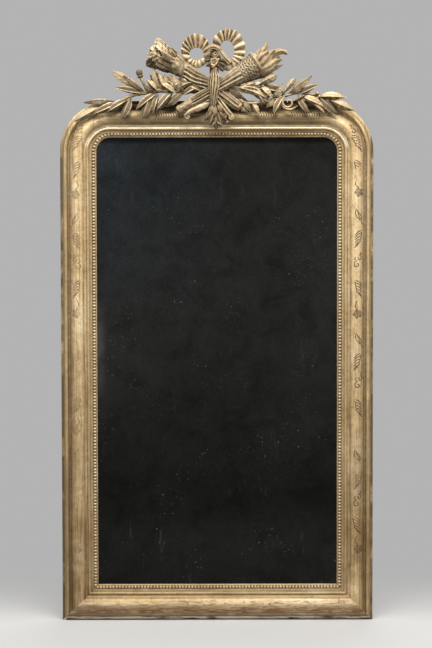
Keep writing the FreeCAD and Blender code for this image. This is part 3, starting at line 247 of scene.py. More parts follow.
def age_and_light_frame(g, colour, dirt_and_shade, backward):
    """Wear, painted light and shade by place on the frame: gives colour, dirt with shade, the crest's painted
    shadow.
    """
    x, _, z = g.xyz
    aside = g.math("ABSOLUTE", x)
    # Painted light: faces that look straight forward are paler than the slopes
    front_facing_light = g.ramp(g.times(backward, -1.0), (0.70, 0.80), (0.94, 0.95), (0.99, 1.0))
    blush = g.times(g.patches(0.52, 0.68, 9, 4, 0.6), 0.32)
    colour = g.mix(blush, g.tinted(colour, front_facing_light, (1.18, 1.18, 1.18)), (0.70, 0.46, 0.29))

    upright, level = (g.streaks(scale, 4, 0.62, 0.3) for scale in ((230, 60, 8), (8, 60, 230)))
    scuff = g.ramp(g.mix(g.between(aside, 0.340, 0.350), level, upright), (0.36, 0.60), (0.49, 1.0))
    fleck = g.ramp(g.noise(150, 5, 0.7, 0.6), (0.33, 0.62), (0.45, 0.95), (0.6, 1.0))
    # Darker and browner towards the bottom of the sides, more on the left, in upright streaks
    flank = g.most(g.between(x, -0.30, -0.40), g.times(g.between(x, 0.30, 0.40), 0.85))
    lower = g.times(g.between(z, 0.92, 0.22), flank, g.patches(0.25, 0.58, 14, 4),
                    g.ramp(upright, (0.38, 1.0), (0.60, 0.70)))
    colour = g.mix(lower, g.tinted(colour, scuff, fleck), (0.215, 0.128, 0.052))

    # Painted shade on the inner slopes of the sides; patchy darkening along the outer edges, dirt with painted
    # shade
    inner_slope_shade = g.times(g.between(aside, 0.377, 0.373), g.zone(z, (0.064, 0.072), (1.41, 1.37)), 0.42)
    rim = g.most(g.times(g.between(x, -0.421, -0.427), 0.6), g.times(g.between(x, 0.420, 0.426), 0.46))
    patchy = g.patches(0.32, 0.52, 11, 5, 0.7)
    colour = g.mix(g.most(inner_slope_shade, g.times(rim, patchy)), colour, (0.29, 0.205, 0.10))

    # Painted shade on the top length under the crest, partly grime: over the swell and the slope under it, on the
    # flat under the astragal, deeper round the swell's apex
    along_top = g.between(aside, 0.355, 0.27)
    head_shade = g.times(g.between(z, 1.4280, 1.4335), along_top, g.patches(0.2, 0.5, 18, 4),
                   g.ramp(g.between(z, 1.4535, 1.464), (0.0, 1.0), (0.6, 0.1)))
    flat = g.times(g.zone(z, (1.4096, 1.4108), (1.4180, 1.4165)), along_top)
    deep = g.times(g.zone(z, (1.4440, 1.4475), (1.4565, 1.4535)), along_top)
    # Painted highlight along the upper flank of the swell on the top length
    crown_highlight = g.times(g.zone(z, (1.4565, 1.4600), (1.4700, 1.4660)), along_top)
    # Painted highlight on the astragal round the upper corners
    upwards = g.math("SUBTRACT", z, TURN * 0.001)
    arm = g.length(g.most(g.math("SUBTRACT", aside, REACH * 0.001), 0.0), upwards)
    corner_highlight = g.times(g.zone(arm, (0.0650, 0.0665), (0.0748, 0.0734)), g.between(upwards, 0.006, 0.020))
    for zone, share, tint in ((head_shade, 0.88, (0.205, 0.142, 0.070)), (flat, 0.66, (0.19, 0.13, 0.064)),
                              (deep, 0.5, (0.085, 0.058, 0.029)), (crown_highlight, 0.5, (0.88, 0.66, 0.34)),
                              (corner_highlight, 0.8, (1.0, 0.89, 0.64))):
        colour = g.mix(g.times(zone, share), colour, tint)

    # Less dirt and painted shade on the swell of the sides
    calm = g.ramp(g.zone(aside, (0.362, 0.366), (0.398, 0.392)), (0.0, 1.0), (1.0, 0.45))
    # Painted shadow beneath the crest, on the top of the top length
    crest_shadow = g.times(g.between(z, 1.468, 1.480), g.between(aside, 0.385, 0.34),
                    g.patches(0.22, 0.42, 20, 3))
    # Dirt with painted shade in patches on the outermost edge
    outer = g.times(g.between(aside, 0.4405, 0.4435), g.patches(0.34, 0.52, 16, 4), 0.84)
    return colour, g.most(g.times(dirt_and_shade, calm), crest_shadow, outer), crest_shadow


def wear_and_highlight_foot(g, colour, bole):
    """Bole on the slope of the bottom length, and a painted highlight and scars on the gold above it."""
    z = g.xyz["Z"]
    slope = g.ramp(g.streaks((22, 40, 90), 6, 0.78, 0.8), (0.45, 0.0), (0.56, 0.95))
    bole = g.most(g.times(bole, 0.5), g.times(slope, g.between(z, 0.050, 0.038)))
    # Painted highlight along the swell of the bottom length, dimmer through its middle
    dip = g.ramp(g.zone(z, (0.031, 0.036), (0.047, 0.043)), (0.0, 1.0), (1.0, 0.3))
    patchy = g.between(g.streaks((18, 60, 120), 5, 0.7, 0.5), 0.40, 0.52)
    worn = g.times(g.zone(z, (0.060, 0.054), (0.0200, 0.0225)), dip, patchy, 0.62)
    scar = g.ramp(g.streaks((26, 60, 130), 6, 0.75, 1.2), (0.535, 0.0), (0.585, 0.7))
    scar = g.times(scar, g.zone(z, (0.070, 0.056), (0.02, 0.03)))
    return g.mix(scar, g.mix(worn, colour, (0.95, 0.80, 0.54)), (0.16, 0.095, 0.045)), bole


def bare_foot(g, colour, metal):
    """Bare gesso along the bottom edge and at its left corner, with painted contact shadow below and painted shade
    above.
    """
    x, _, z = g.xyz
    bare = g.ramp(g.streaks((17, 30, 90), 5, 0.62, 0), (0.37, (0.045, 0.032, 0.024)),
                  (0.43, (0.13, 0.085, 0.058)), (0.46, (0.29, 0.26, 0.205)), (0.54, GESSO))
    # Painted contact shadow along the very bottom edge
    contact_shadow = g.between(z, 0.0040, 0.0022)
    bare = g.mix(contact_shadow, bare, (0.022, 0.016, 0.012))
    edge = g.times(g.between(z, 0.0132, 0.0118), g.most(g.patches(0.28, 0.34, 12, 3), contact_shadow))
    # Painted shade on the lower half of the roll
    roll_underside_shade = g.times(g.zone(z, (0.0215, 0.0190), (0.0105, 0.0125)), 0.75)
    chip = g.times(g.between(x, -0.4385, -0.4415), g.between(z, 0.031, 0.027),
                   g.patches(0.36, 0.44, 70, 3))
    edge = g.most(edge, chip)
    colour = g.mix(edge, g.mix(roll_underside_shade, colour, (0.075, 0.050, 0.022)), g.mix(chip, bare, GESSO))
    return colour, g.times(metal, g.math("SUBTRACT", 1.0, edge))


def groove_line(name, deep, worn):
    """The brown line that is left in an engraved stroke."""
    g = new_material(name)
    colour = g.ramp(g.noise(120, 4), (0.3, deep), (0.7, worn))
    return g.principled(Base_Color=colour, Metallic=0.35, Roughness=g.patches(-0.6, 1.2, 60))


def old_glass(name):
    """A dark old mirror: foxed in specks, hazy in streaks, cooler at the upper left, painted shadow at its top."""
    g = new_material(name)
    x, _, z = g.xyz
    cloud = g.noise(2.2, 4, 0.6)
    # The glass is dark partly from age and partly as a painted dark reflection
    base = g.ramp(cloud, (0.3, (0.021, 0.021, 0.0195)), (0.7, (0.037, 0.037, 0.035)))
    cool = g.times(g.between(x, 0.05, -0.34), g.between(z, 0.85, 1.35), g.patches(0.25, 0.7, 6, 5, 0.65))
    base = g.mix(cool, base, (0.046, 0.057, 0.067))
    # Painted shade, darker towards the bottom
    fade = g.ramp(g.between(z, 0.0, 1.45), (0.10, 0.42), (0.28, 0.52), (0.50, 0.95), (0.9, 1.0))
    patina = g.ramp(g.noise(210, 4, 0.75), (0.30, 0.62), (0.70, 1.0))
    smudge = g.ramp(g.noise(13, 6, 0.68, 0.5), (0.36, 0.66), (0.52, 0.88), (0.68, 1.0))
    # Painted shadow of the top length's lip along the top of the glass
    top_lip_shadow = g.ramp(g.between(z, 1.394, 1.376), (0.0, 0.30), (0.45, 0.42), (1.0, 1.0))
    base = g.tinted(base, fade, patina, smudge, (2.0, 2.0, 2.0), top_lip_shadow)
    streak = g.ramp(g.streaks((34, 1, 7), 6, 0.7, 0), (0.60, 0.0), (0.78, 1.0))
    base = g.mix(g.times(streak, 0.35), base, (0.14, 0.14, 0.138))
    speck = g.times(g.ramp(g.noise(150, 2, 0.5), (0.68, 0.0), (0.74, 1.0)), g.patches(0.50, 0.64, 5, 3))
    base = g.mix(g.times(speck, 0.85), base, (0.34, 0.33, 0.32))
    edge = g.times(g.between(x, -0.318, -0.338), g.patches(0.34, 0.56, 9, 4),
                   g.zone(z, (0.64, 0.74), (0.93, 0.85)))
    base = g.mix(g.times(edge, 0.6), base, (0.17, 0.165, 0.15))
    haze = g.plus(g.times(g.plus(speck, streak), 0.12), g.between(cloud, -0.4, 7))
    return g.principled(Base_Color=base, Metallic=1.0, Roughness=haze)


def pine(name, light, dark, along, shade=1.0):
    """Raw softwood, darkened with age; along is the way of the grain."""
    g = new_material(name)
    light, dark = (tuple(part * shade for part in colour) for colour in (light, dark))
    squeeze = {"X": (1.2, 26, 26), "Z": (26, 26, 1.2)}[along]
    rings = g.node("TexWave", {"wave_type": "RINGS", "rings_direction": along}, Vector=g.stretched(*squeeze),
                   Scale=1.3, Distortion=6.5, Detail=3.0, Detail_Scale=1.6)
    fibre = g.noise(9, 6, 0.7, 0, g.stretched(*(part * 3 for part in squeeze)))
    figure = g.plus(g.times(rings.outputs["Fac"], 0.55), g.times(fibre, 0.45))
    stain = g.ramp(g.noise(4, 4, 0.6), (0.45, 0.0), (0.75, 0.6))
    colour = g.mix(stain, g.ramp(figure, (0.2, light), (0.8, dark)), tuple(part * 0.5 for part in dark))
    return g.principled(Base_Color=colour, Roughness=g.between(fibre, -1.6, 1.1),
                        Normal=g.bump(figure, 0.35, 0.001))


def iron(name, colour, rust):
    """Dark forged iron with some rust."""
    g = new_material(name)
    patch = g.noise(70, 5, 0.65)
    shade = g.mix(g.ramp(patch, (0.46, 0.0), (0.68, rust)), colour, (0.20, 0.075, 0.030))
    metal = g.math("SUBTRACT", 0.85, g.ramp(patch, (0.46, 0.0), (0.68, 0.6)))
    return g.principled(Base_Color=shade, Metallic=metal, Roughness=g.between(patch, -0.5, 1.2),
                        Normal=g.bump(g.noise(380, 3), 0.3, 0.0006))


def tin(name):
    g = new_material(name)
    crumple = g.noise(30, 6, 0.7, 1.0)
    colour = g.ramp(crumple, (0.3, (0.22, 0.22, 0.23)), (0.7, (0.50, 0.50, 0.50)))
    return g.principled(Base_Color=colour, Metallic=0.9, Roughness=0.5, Normal=g.bump(crumple, 0.3, 0.001))


GILT_FRAME = gilt("gilt_frame", shadow=0.7, wear=0.22, shine=0.68, on_frame=True)
GILT_FOOT = gilt("gilt_foot", shadow=0.6, wear=0.6, shine=0.68, on_frame=True, plinth=True)
GILT_BEAD = gilt("gilt_bead", shadow=0.72, wear=0.1, tone=1.08, grey=0.1, pearls=True)
GILT_CARVED = gilt("gilt_carved", shadow=1.0, wear=0.2, tone=0.98, grey=0.09, shine=0.62)
GILT_DULL = gilt("gilt_dull", shadow=1.0, wear=0.25, tone=0.80, grey=0.09, shine=0.62)
GILT_RIBBON = gilt("gilt_ribbon", shadow=0.95, wear=0.1, tone=1.08, grey=0.12, shine=0.6)
# A paler copy of the gilt with less painted shade: painted light, for the flames
GILT_LIT = gilt("gilt_lit", shadow=0.6, wear=0.1, tone=1.06, grey=0.14, shine=0.6)
# Darker copies of the gilt: painted shade, and deeper painted shadow, for faces that are shaded
GILT_SHADE = gilt("gilt_shade", shadow=1.0, wear=0.25, tone=0.66, grey=0.08, shine=0.5)
GILT_SHADOW = gilt("gilt_shadow", shadow=1.0, wear=0.3, tone=0.30, grey=0.05, shine=0.3)
STROKE = groove_line("engraved_stroke", (0.050, 0.030, 0.014), (0.13, 0.078, 0.036))
FAINT_STROKE = groove_line("engraved_faint", (0.15, 0.096, 0.045), (0.36, 0.25, 0.125))


# Building forms

class Form:
    """Points and faces gathered for one piece; a mark picks the face's material."""

    def __init__(self):
        self.points, self.faces, self.marks = [], [], []

    def loft(self, rings, mark=0, face_mark=None, closed=False):
        """Skin over closed rings of points, with both ends shut unless the rings close on themselves."""
        start, count, rows = len(self.points), len(rings[0]), len(rings)
        self.points += [point for ring in rings for point in ring]
        for row in range(rows if closed else rows - 1):
            near, far = start + row * count, start + (row + 1) % rows * count
            for lane in range(count):
                other = (lane + 1) % count
                self.faces.append((near + lane, near + other, far + other, far + lane))
                self.marks.append(face_mark(row, lane) if face_mark else mark)
        if not closed:
            for end in (start, start + (rows - 1) * count):
                self.faces.append(tuple(range(end, end + count)))
                self.marks.append(mark)

    def ball(self, centre, radius, squash=1.0, mark=0):
        rows, sides = 7, 12
        rings = []
        for row in range(rows + 1):
            angle = pi * (0.03 + 0.94 * row / rows)
            flat, high = sin(angle), cos(angle) * -squash
            rings.append([centre + Vector((flat * cos(turn), high, flat * sin(turn))) * radius
                          for turn in turns(sides)])
        self.loft(rings, mark)

    def piece(self, name, materials, nodes, slot, crease=38):
        mesh = bpy.data.meshes.new(name)
        mesh.from_pydata([point * 0.001 for point in self.points], [], self.faces)
        for material in materials:
            mesh.materials.append(material)
        mesh.polygons.foreach_set("material_index", self.marks)
        work = bmesh.new()
        work.from_mesh(mesh)
        bmesh.ops.recalc_face_normals(work, faces=work.faces)
        work.to_mesh(mesh)
        work.free()
        mesh.shade_smooth()
        mesh.set_sharp_from_angle(angle=radians(crease))
        made = bpy.data.objects.new(name, mesh)
        scene.collection.objects.link(made)
        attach(made, "mirror")
        if nodes:
            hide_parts(*nodes)

    def carving(self, name, node, *materials, crease=38):
        self.piece(name, materials, [node], "gilt_carving", crease)


def turns(sides):
    return [tau * side / sides for side in range(sides)]


def limited(value):
    return min(1, max(0, value))


def spline(points, steps):
    """A smooth line through points, with steps to each stretch."""
    points = [Vector(point) for point in points]
    padded = [points[0] * 2 - points[1]] + points + [points[-1] * 2 - points[-2]]
    line = []
    for a, b, c, d in zip(padded, padded[1:], padded[2:], padded[3:]):
        for step in range(steps):
            t = step / steps
            line.append((b * 2 + (c - a) * t + (a * 2 - b * 5 + c * 4 - d) * t ** 2
                         + (b * 3 - a - c * 3 + d) * t ** 3) / 2)
    return line + [points[-1]]


def eased(stops, place):
    """A value between table stops, with a soft curve from each to the next."""
    for (low, a), (high, b) in zip(stops, stops[1:]):
        if place <= high:
            share = (place - low) / (high - low)
            return a + (b - a) * share * share * (3 - 2 * share)
    return stops[-1][1]


def headings(line):
    last = len(line) - 1
    return [(line[min(at + 1, last)] - line[max(at - 1, 0)]).normalized() for at in range(len(line))]


def facing(heading):
    """The two ways square to a heading: across the view and out towards it."""
    across = heading.cross(BACK)
    across = across.normalized() if across.length > 0.01 else Vector((1, 0, 0))
    ahead = heading.cross(across).normalized()
    return across, ahead if ahead.y <= 0 else -ahead


def along_line(points, steps, sizes):
    """Places on a smooth line: point, way across, way ahead and the size there, eased from one to the next."""
    line = spline(points, steps)
    stops = [(at / (len(sizes) - 1), size) for at, size in enumerate(sizes)]
    return [(centre, *facing(heading), eased(stops, at / (len(line) - 1)))
            for at, (centre, heading) in enumerate(zip(line, headings(line)))]


def tube(form, points, radii, sides=12, steps=6, flat=1.0, lump=0.0):
    """A stem or cord through points, flattened from front to back and uneven by its lump."""
    rings = []
    for centre, across, ahead, radius in along_line(points, steps, radii):
        ring = []
        for turn in turns(sides):
            swell = 1 + lump * noise.noise(centre * 0.11 + Vector((turn, 0, 0)))
            ring.append(centre + (across * cos(turn) + ahead * (sin(turn) * flat)) * radius * swell)
        rings.append(ring)
    form.loft(rings)


# Outlines of leaves, as half width by place along, and the lanes that a leaf's section is drawn on
LAUREL = ((0, 0.14), (0.1, 0.42), (0.3, 0.90), (0.45, 1.0), (0.65, 0.86), (0.82, 0.52), (0.94, 0.19), (1, 0.03))
ROUNDED = ((0, 0.12), (0.2, 0.45), (0.5, 0.85), (0.75, 1.0), (0.9, 0.75), (0.97, 0.4), (1, 0.06))
FEATHER = ((0, 0.25), (0.15, 0.8), (0.5, 1.0), (0.85, 1.0), (0.95, 0.85), (1, 0.45))
FRONT_LANES = [step / 6 - 1 for step in range(13)]
BACK_LANES = (0.75, 0.3, -0.3, -0.75)
# Lanes in painted shade on a shaded leaf: the faces between rim and rib, and the back
SHADED_LANES = [0] + [1] * 4 + [0, 0] + [1] * 4 + [0] + [1] * 5


def leaf(form, root, tip, width, bow=7, thick=7, bend=0, roll=0, teeth=0, veins=6, vein=0.38, outline=LAUREL,
         mark=0, shaded=False, stations=18):
    """A carved leaf: two puffed halves, a raised rib, slanting veins and a bowed spine."""
    run = tip - root
    aside = run.cross(BACK).normalized()
    shares = [at / stations for at in range(stations + 1)]
    line = []
    for u in shares:
        arch = 4 * u * (1 - u)
        line.append(root + run * u + FRONT * (bow * arch) + aside * (bend * arch))
    rings = []
    for u, centre, heading in zip(shares, line, headings(line)):
        turn = Matrix.Rotation(radians(roll), 3, heading)
        across, ahead = (turn @ way for way in facing(heading))
        half = width / 2 * eased(outline, u)
        half *= 1 + 0.12 * noise.noise(centre * 0.16)
        if teeth and 0.08 < u < 0.96:
            half *= 1 + 0.16 * ((u * teeth) % 1 - 0.5)
        deep = thick * (0.3 + 0.7 * sqrt(max(0.0, sin(pi * min(1, 0.08 + u * 0.9)))))
        ring = []
        for lane in FRONT_LANES:
            a = abs(lane)
            lift = 0.78 * (1 - a) + 0.24 * sin(pi * min(1, 0.1 + a * 0.88)) + 0.20 * exp(-(a / 0.09) ** 2)
            lift -= vein * (0.5 + 0.5 * cos(tau * (u * veins - a * 1.1))) * sin(pi * a)
            lift -= 0.34 * a ** 4
            ring.append(centre + across * (lane * half) + ahead * (lift * deep))
        for lane in BACK_LANES:
            ring.append(centre + across * (lane * half) - ahead * (deep * 0.42 * (1 - lane * lane) + 0.6))
        rings.append(ring)
    form.loft(rings, mark, (lambda row, lane: SHADED_LANES[lane]) if shaded else None)


def flake(form, points, widths, thick, ridge_share, flutes=0):
    """A ribbon or flame that follows a line: ridged in front, rounded behind."""
    rings = []
    for centre, across, ahead, width in along_line(points, 6, widths):
        half = width / 2
        deep = thick * min(1, half / max(widths) * 4 + 0.15)
        ring = []
        for lane in FRONT_LANES:
            lift = ridge_share * (1 - abs(lane)) + (1 - ridge_share) * sqrt(max(0, 1 - lane * lane))
            lift += 0.22 * cos(lane * pi * flutes) if flutes else 0
            ring.append(centre + across * (lane * half) + ahead * (lift * deep))
        ring += [centre + across * (lane * half) - ahead * (deep * 0.5 * (1 - lane * lane))
                 for lane in BACK_LANES]
        rings.append(ring)
    form.loft(rings)


def coil(form, centre, radius, rounds, wire, start, lift, hand=1):
    """A flat spiral that winds in towards its centre and rises as it goes."""
    count = int(rounds * 10)
    points = []
    for step in range(count + 1):
        share = step / count
        turn = tau * (start + hand * rounds * share)
        points.append(centre + Vector((cos(turn), 0, sin(turn))) * (radius * (1 - 0.86 * share))
                      + FRONT * (lift * share))
    tube(form, points, [wire, wire, wire * 0.6], sides=8, steps=2)


def turned(form, base, axis, profile, sides, step, relief=None, mark=0, back_limit=None, sunk=None):
    """A piece turned about an axis; relief carves it by place along and round; faces below sunk get mark 1."""
    aside, ahead = facing(axis)
    stations = []
    for (low, a), (high, b) in zip(profile, profile[1:]):
        count = max(1, round((high - low) / step)) if high > low else 1
        stations += [(low + (high - low) * at / count, a + (b - a) * at / count) for at in range(count)]
    rings = []
    for along, radius in stations + [profile[-1]]:
        ring = []
        for turn in turns(sides):
            out = radius + (relief(along, turn) if relief and radius > 1 else 0)
            point = base + axis * along + (ahead * cos(turn) + aside * sin(turn)) * max(out, 0.2)
            if back_limit is not None:
                point.y = min(point.y, back_limit)
            ring.append(point)
        rings.append(ring)

    def low_face(row, lane):
        return 1 if relief(stations[row][0], tau * (lane + 0.5) / sides) < sunk else mark

    form.loft(rings, mark, low_face if sunk is not None else None)


# Moulded frame

def arc(a, b, bulge, steps):
    """Points from a up to b on an arc that stands bulge to the left of the way."""
    run = Vector((b[0] - a[0], b[1] - a[1]))
    chord = run.length
    radius = chord * chord / (8 * abs(bulge)) + abs(bulge) / 2
    normal = Vector((-run.y, run.x)).normalized() * (1 if bulge > 0 else -1)
    centre = (Vector(a) + Vector(b)) / 2 - normal * (radius - abs(bulge))
    half = asin(chord / 2 / radius)
    points = []
    for step in range(steps):
        angle = half * (1 - 2 * step / steps)
        points.append(tuple(centre + normal * (radius * cos(angle)) - run.normalized() * (radius * sin(angle))))
    return points


def soft(points, reach):
    """A closed outline with its corners eased."""
    eased_points = []
    for before, here, after in zip(points[-1:] + points[:-1], points, points[1:] + points[:1]):
        here, before, after = Vector(here), Vector(before), Vector(after)
        sides = (before - here, after - here)
        if sides[0].angle(sides[1]) > 2.45:
            eased_points.append(tuple(here))
            continue
        cut = [here + side.normalized() * min(reach, side.length * 0.35) for side in sides]
        eased_points += [tuple(cut[0]), tuple(here * 0.5 + (cut[0] + cut[1]) * 0.25), tuple(cut[1])]
    return eased_points


def moulding_section():
    """Across from the outer edge and forward from the bed: plinth, cove, roll, swell, astragal, bead seat."""
    points = [(0, 0)]
    points += arc((0, 14), (11, 24), -2, 6) + arc((11, 24), (21, 24), 4, 8) + [(21, 24), (21, 18)]
    points += arc((27, 18), (52, 40), 4, 12) + arc((52, 40), (66, 33), 1.5, 7)
    points += arc((66, 33), (75, 23), -1.5, 6) + arc((75, 23), (84, 23), 4.2, 9) + [(84, 23), (84, 18)]
    points += [(91, 18), (91, 12), (101, 12), (101, 16), (104, 14), (104, 7), (95, 7), (95, 0)]
    return soft(points, 0.8)


SECTION = moulding_section()


def crown(across):
    """How far the main swell stands forward of the bed at a place across."""
    best = 0.0
    for a, b in zip(SECTION, SECTION[1:]):
        if min(a[0], b[0]) <= across <= max(a[0], b[0]) and a[0] != b[0]:
            best = max(best, a[1] + (b[1] - a[1]) * (across - a[0]) / (b[0] - a[0]))
    return best


def on_side(hand):
    return lambda along, across, forward: Vector((hand * (HALF - across), BED - forward, along))


def on_bottom(along, across, forward):
    return Vector((along, BED - forward, across))


def on_top(along, across, forward):
    return Vector((along, BED - forward, TOP - across))


def on_corner(hand):
    def place(angle, across, forward):
        arm = ROUND - across
        return Vector((hand * (REACH + arm * cos(angle)), BED - forward, TURN + arm * sin(angle)))
    return place


def hand_made(point):
    """A gesso surface is never quite true; the outer edges and the back stay true."""
    if point.z < 0.5 or point.y > BED - 0.5 or abs(point.x) > HALF - 0.5 or point.z > TOP - 0.5:
        return point
    shift = noise.noise_vector(point * 0.012) * 0.35 + noise.noise_vector(point * 0.05) * 0.12
    return point + Vector((0, shift.y, 0))


def moulding(name, place, start, end, steps, material=GILT_FRAME):
    """A length of the section; start and end say where it begins and stops at each place across."""
    form = Form()
    rings = []
    for step in range(steps + 1):
        share = step / steps
        rings.append([hand_made(place(start(across) + (end(across) - start(across)) * share, across, forward))
                      for across, forward in SECTION])
    form.loft(rings)
    form.piece(name.replace("moulding", "gilt_length"), [material], [name], "gilt_moulding", crease=50)


def make_mouldings():
    for side, hand in HANDS:
        moulding(f"moulding_{side}", on_side(hand), lambda across: across, lambda across: TURN, 110)
    moulding("moulding_bottom", on_bottom, lambda across: across - HALF, lambda across: HALF - across, 90,
             GILT_FOOT)
    moulding("moulding_top", on_top, lambda across: -REACH, lambda across: REACH, 60)
    for side, hand in HANDS:
        moulding(f"moulding_corner_{side}", on_corner(hand), lambda across: 0.0, lambda across: pi / 2, 36)


# Half pearls on strips in the bead seat

# Strip: its edges and the pearls' line across the section, the seat's height over the bed, the strip's thickness
OUTER, INNER, LINE, SEAT, STRIP = 91.3, 100.7, 96.0, 12.0, 4.4
# Pearls: half breadth across and along the row, height, pitch, count round a corner
PEARL, PEARL_PITCH, CORNER_PEARLS = (4.9, 3.75, 4.0), 9.1, 8


def pearl(form, centre, heading):
    across = heading.cross(BACK).normalized()
    broad, long, tall = PEARL
    rings = []
    for row in range(6):
        angle = pi / 2 * row / 5.6
        flat, high = cos(angle), sin(angle)
        rings.append([centre + across * (cos(turn) * broad * flat ** 0.6) + heading * (sin(turn) * long * flat)
                      + FRONT * (high * tall - 0.3) for turn in turns(12)])
    form.loft(rings)


def bead_row(name, place, corners, pearls):
    """A strip with the given corners, along and across, and its pearls."""
    form = Form()
    corners = [place(*corner, SEAT) for corner in corners]
    form.loft([[corner + FRONT * lift for corner in corners] for lift in (0, STRIP)], mark=1)
    for centre, heading in pearls:
        pearl(form, centre + FRONT * STRIP, heading)
    form.piece(name.replace("beads", "pearls"), [GILT_BEAD, GILT_SHADE], [name], "gilt_beads", crease=60)


def straight_row(name, place, start, end, corners):
    first = place(start, LINE, SEAT)
    run = place(end, LINE, SEAT) - first
    count = round(run.length / PEARL_PITCH)
    pearls = [(first + run * ((at + 0.5) / count), run.normalized()) for at in range(count)]
    bead_row(name, place, corners, pearls)


def make_beads():
    first = LINE + 1.5
    for side, hand in HANDS:
        straight_row(f"beads_{side}", on_side(hand), first, TURN,
                     ((OUTER, OUTER), (INNER, INNER), (TURN, INNER), (TURN, OUTER)))
    straight_row("beads_bottom", on_bottom, first - HALF, HALF - first,
                 ((OUTER - HALF, OUTER), (HALF - OUTER, OUTER), (HALF - INNER, INNER), (INNER - HALF, INNER)))
    straight_row("beads_top", on_top, -REACH, REACH,
                 ((-REACH, OUTER), (REACH, OUTER), (REACH, INNER), (-REACH, INNER)))
    for side, hand in HANDS:
        place = on_corner(hand)
        angles = [pi / 2 * step / 14 for step in range(15)]
        corners = [(angle, OUTER) for angle in angles] + [(angle, INNER) for angle in reversed(angles)]
        pearls = []
        for at in range(CORNER_PEARLS):
            angle = pi / 2 * (at + 0.5) / CORNER_PEARLS
            here = place(angle, LINE, SEAT)
            pearls.append((here, (place(angle + 0.01, LINE, SEAT) - here).normalized()))
        bead_row(f"beads_corner_{side}", place, corners, pearls)


# Engraved vines on the swell and hatching beside the crest

# A stroke's section, across in half breadths and up in millimetres, and the lanes of its brown line
STROKE_SECTION = ((-1, 0.05), (-0.55, 0.34), (-0.2, 0.16), (0.2, 0.16), (0.55, 0.34), (1, 0.05), (0.5, -0.8),
                  (-0.5, -0.8))
BROWN_LANES = (1, 2, 3)
# Vines: line across the section, pitch, start and end, and from where on all of them still show
VINE, VINE_PITCH, VINE_START, VINE_END, VINE_CLEAR = 46, 68, 210.0, 1345, 950
HATCHING, HATCH_PITCH = ((-176, -112), (116, 168), (212, 296)), 7


def stroke(form, place, along, across, path, breadth=2.3, hand=1):
    """A cut line by its steps from a place on the swell: two raised burrs with a brown line between them."""
    path = spline([(along + a, across + hand * b, 0) for a, b in path], 5)
    rings = []
    for here, heading in zip(path, headings(path)):
        aside = Vector((-heading.y, heading.x, 0))
        ring = []
        for offset, lift in STROKE_SECTION:
            point = here + aside * (offset * breadth)
            ring.append(place(point.x, point.y, crown(point.y) + lift))
        rings.append(ring)
    form.loft(rings, face_mark=lambda row, lane: int(lane in BROWN_LANES))


def ray(turn, reach):
    return Vector((cos(turn), sin(turn))) * reach


def flower(form, place, along, across, size=12.5):
    for turn in turns(5):
        tip, side = ray(turn + 0.4, size), ray(turn + 1.97, size * 0.38)
        middle = tip / 2
        stroke(form, place, along, across, [(0, 0), middle + side, tip, middle - side, (0, 0)], 2.1)
        stroke(form, place, along, across, [(0, 0), middle, middle * 0.4 + tip * 0.6], 2.4)


def curl(form, place, along, across, size, hand):
    spiral = [ray(step * 0.72, size * (1 - step / 11)) for step in range(10)]
    stroke(form, place, along, across, spiral, 2.4, hand)
    stroke(form, place, along, across, [(size, 0), (size * 1.5, size * 0.7), (size * 2.1, size * 0.3)], 2.2, hand)


def sprig(form, place, along, across, hand):
    stroke(form, place, along, across, [(-24, -11), (-6, 4), (22, 11)], hand=hand)
    for shift in (-18, -10, -2, 6, 13):
        stroke(form, place, along + shift, across, [(0, -9), (8, -2), (13, 8)], hand=hand)


def leaflet(form, place, along, across):
    """The outline of a leaf with its rib."""
    for bulge in (-8, 8):
        stroke(form, place, along, across, [(-17, -7), (-2 + bulge * 0.3, bulge), (17, 7)])
    stroke(form, place, along, across, [(-26, -12), (-8, -4), (9, 3)], 1.9)


def make_engraving():
    """Motifs up the sides, as far as they can still be seen on the old gilding, and hatching at the top."""
    for (side, hand), faint, line in zip(HANDS, (0.55, 0.06), (FAINT_STROKE, STROKE)):
        form, place, turn = Form(), on_side(hand), on_corner(hand)
        along, kind = VINE_START, 0
        while along < VINE_END:
            across = VINE + random.uniform(-3, 3)
            if random.random() > faint or along > VINE_CLEAR:
                motif = kind % 5
                if motif == 0:
                    flower(form, place, along, across)
                    stroke(form, place, along, 0, [(12, across), (23, 54), (38, 49)])
                elif motif == 1:
                    sprig(form, place, along, across, 1)
                elif motif == 2:
                    curl(form, place, along, across + 2, 10.5, 1)
                    curl(form, place, along + 19, across - 4, 8.0, -1)
                elif motif == 3:
                    sprig(form, place, along, across + 1, -1)
                else:
                    leaflet(form, place, along, across)
            along += VINE_PITCH + random.uniform(-4, 4)
            kind += 1

        def bent(along, across, forward):
            return turn(along / (ROUND - VINE), across, forward)

        sprig(form, bent, 22, VINE, 1)
        curl(form, bent, 58, VINE - 2, 9.0, -1)
        form.piece(f"engraving_{side}", [GILT_FRAME, line], [], "gilt_moulding")
    form = Form()
    for low, high in HATCHING:
        for along in range(low, high, HATCH_PITCH):
            stroke(form, on_top, along, 0, [(0, 32), (5, 44), (0, 56)], 2.5)
    form.piece("engraving_top", [GILT_FRAME, STROKE], [], "gilt_moulding")


# Carved crest

CROSSING = Vector((-7, 0, 1528))


def slant(hand, tilt, lean, depth):
    """Where an axis crosses the middle and which way it climbs."""
    tilt, lean = radians(tilt), radians(lean)
    direction = Vector((hand * cos(tilt) * cos(lean), sin(lean), sin(tilt) * cos(lean)))
    return CROSSING + Vector((0, BACK_PLANE - depth, 0)), direction


# Torch: its axis, reeds round its shaft, start of its bowl and end of the scales on it, their height and number
TORCH = slant(1, 30, 4, 72)
REEDS, BOWL_LOW, BOWL_HIGH, SCALE_TALL, SCALES = 13, 88, 133, 7.5, 16
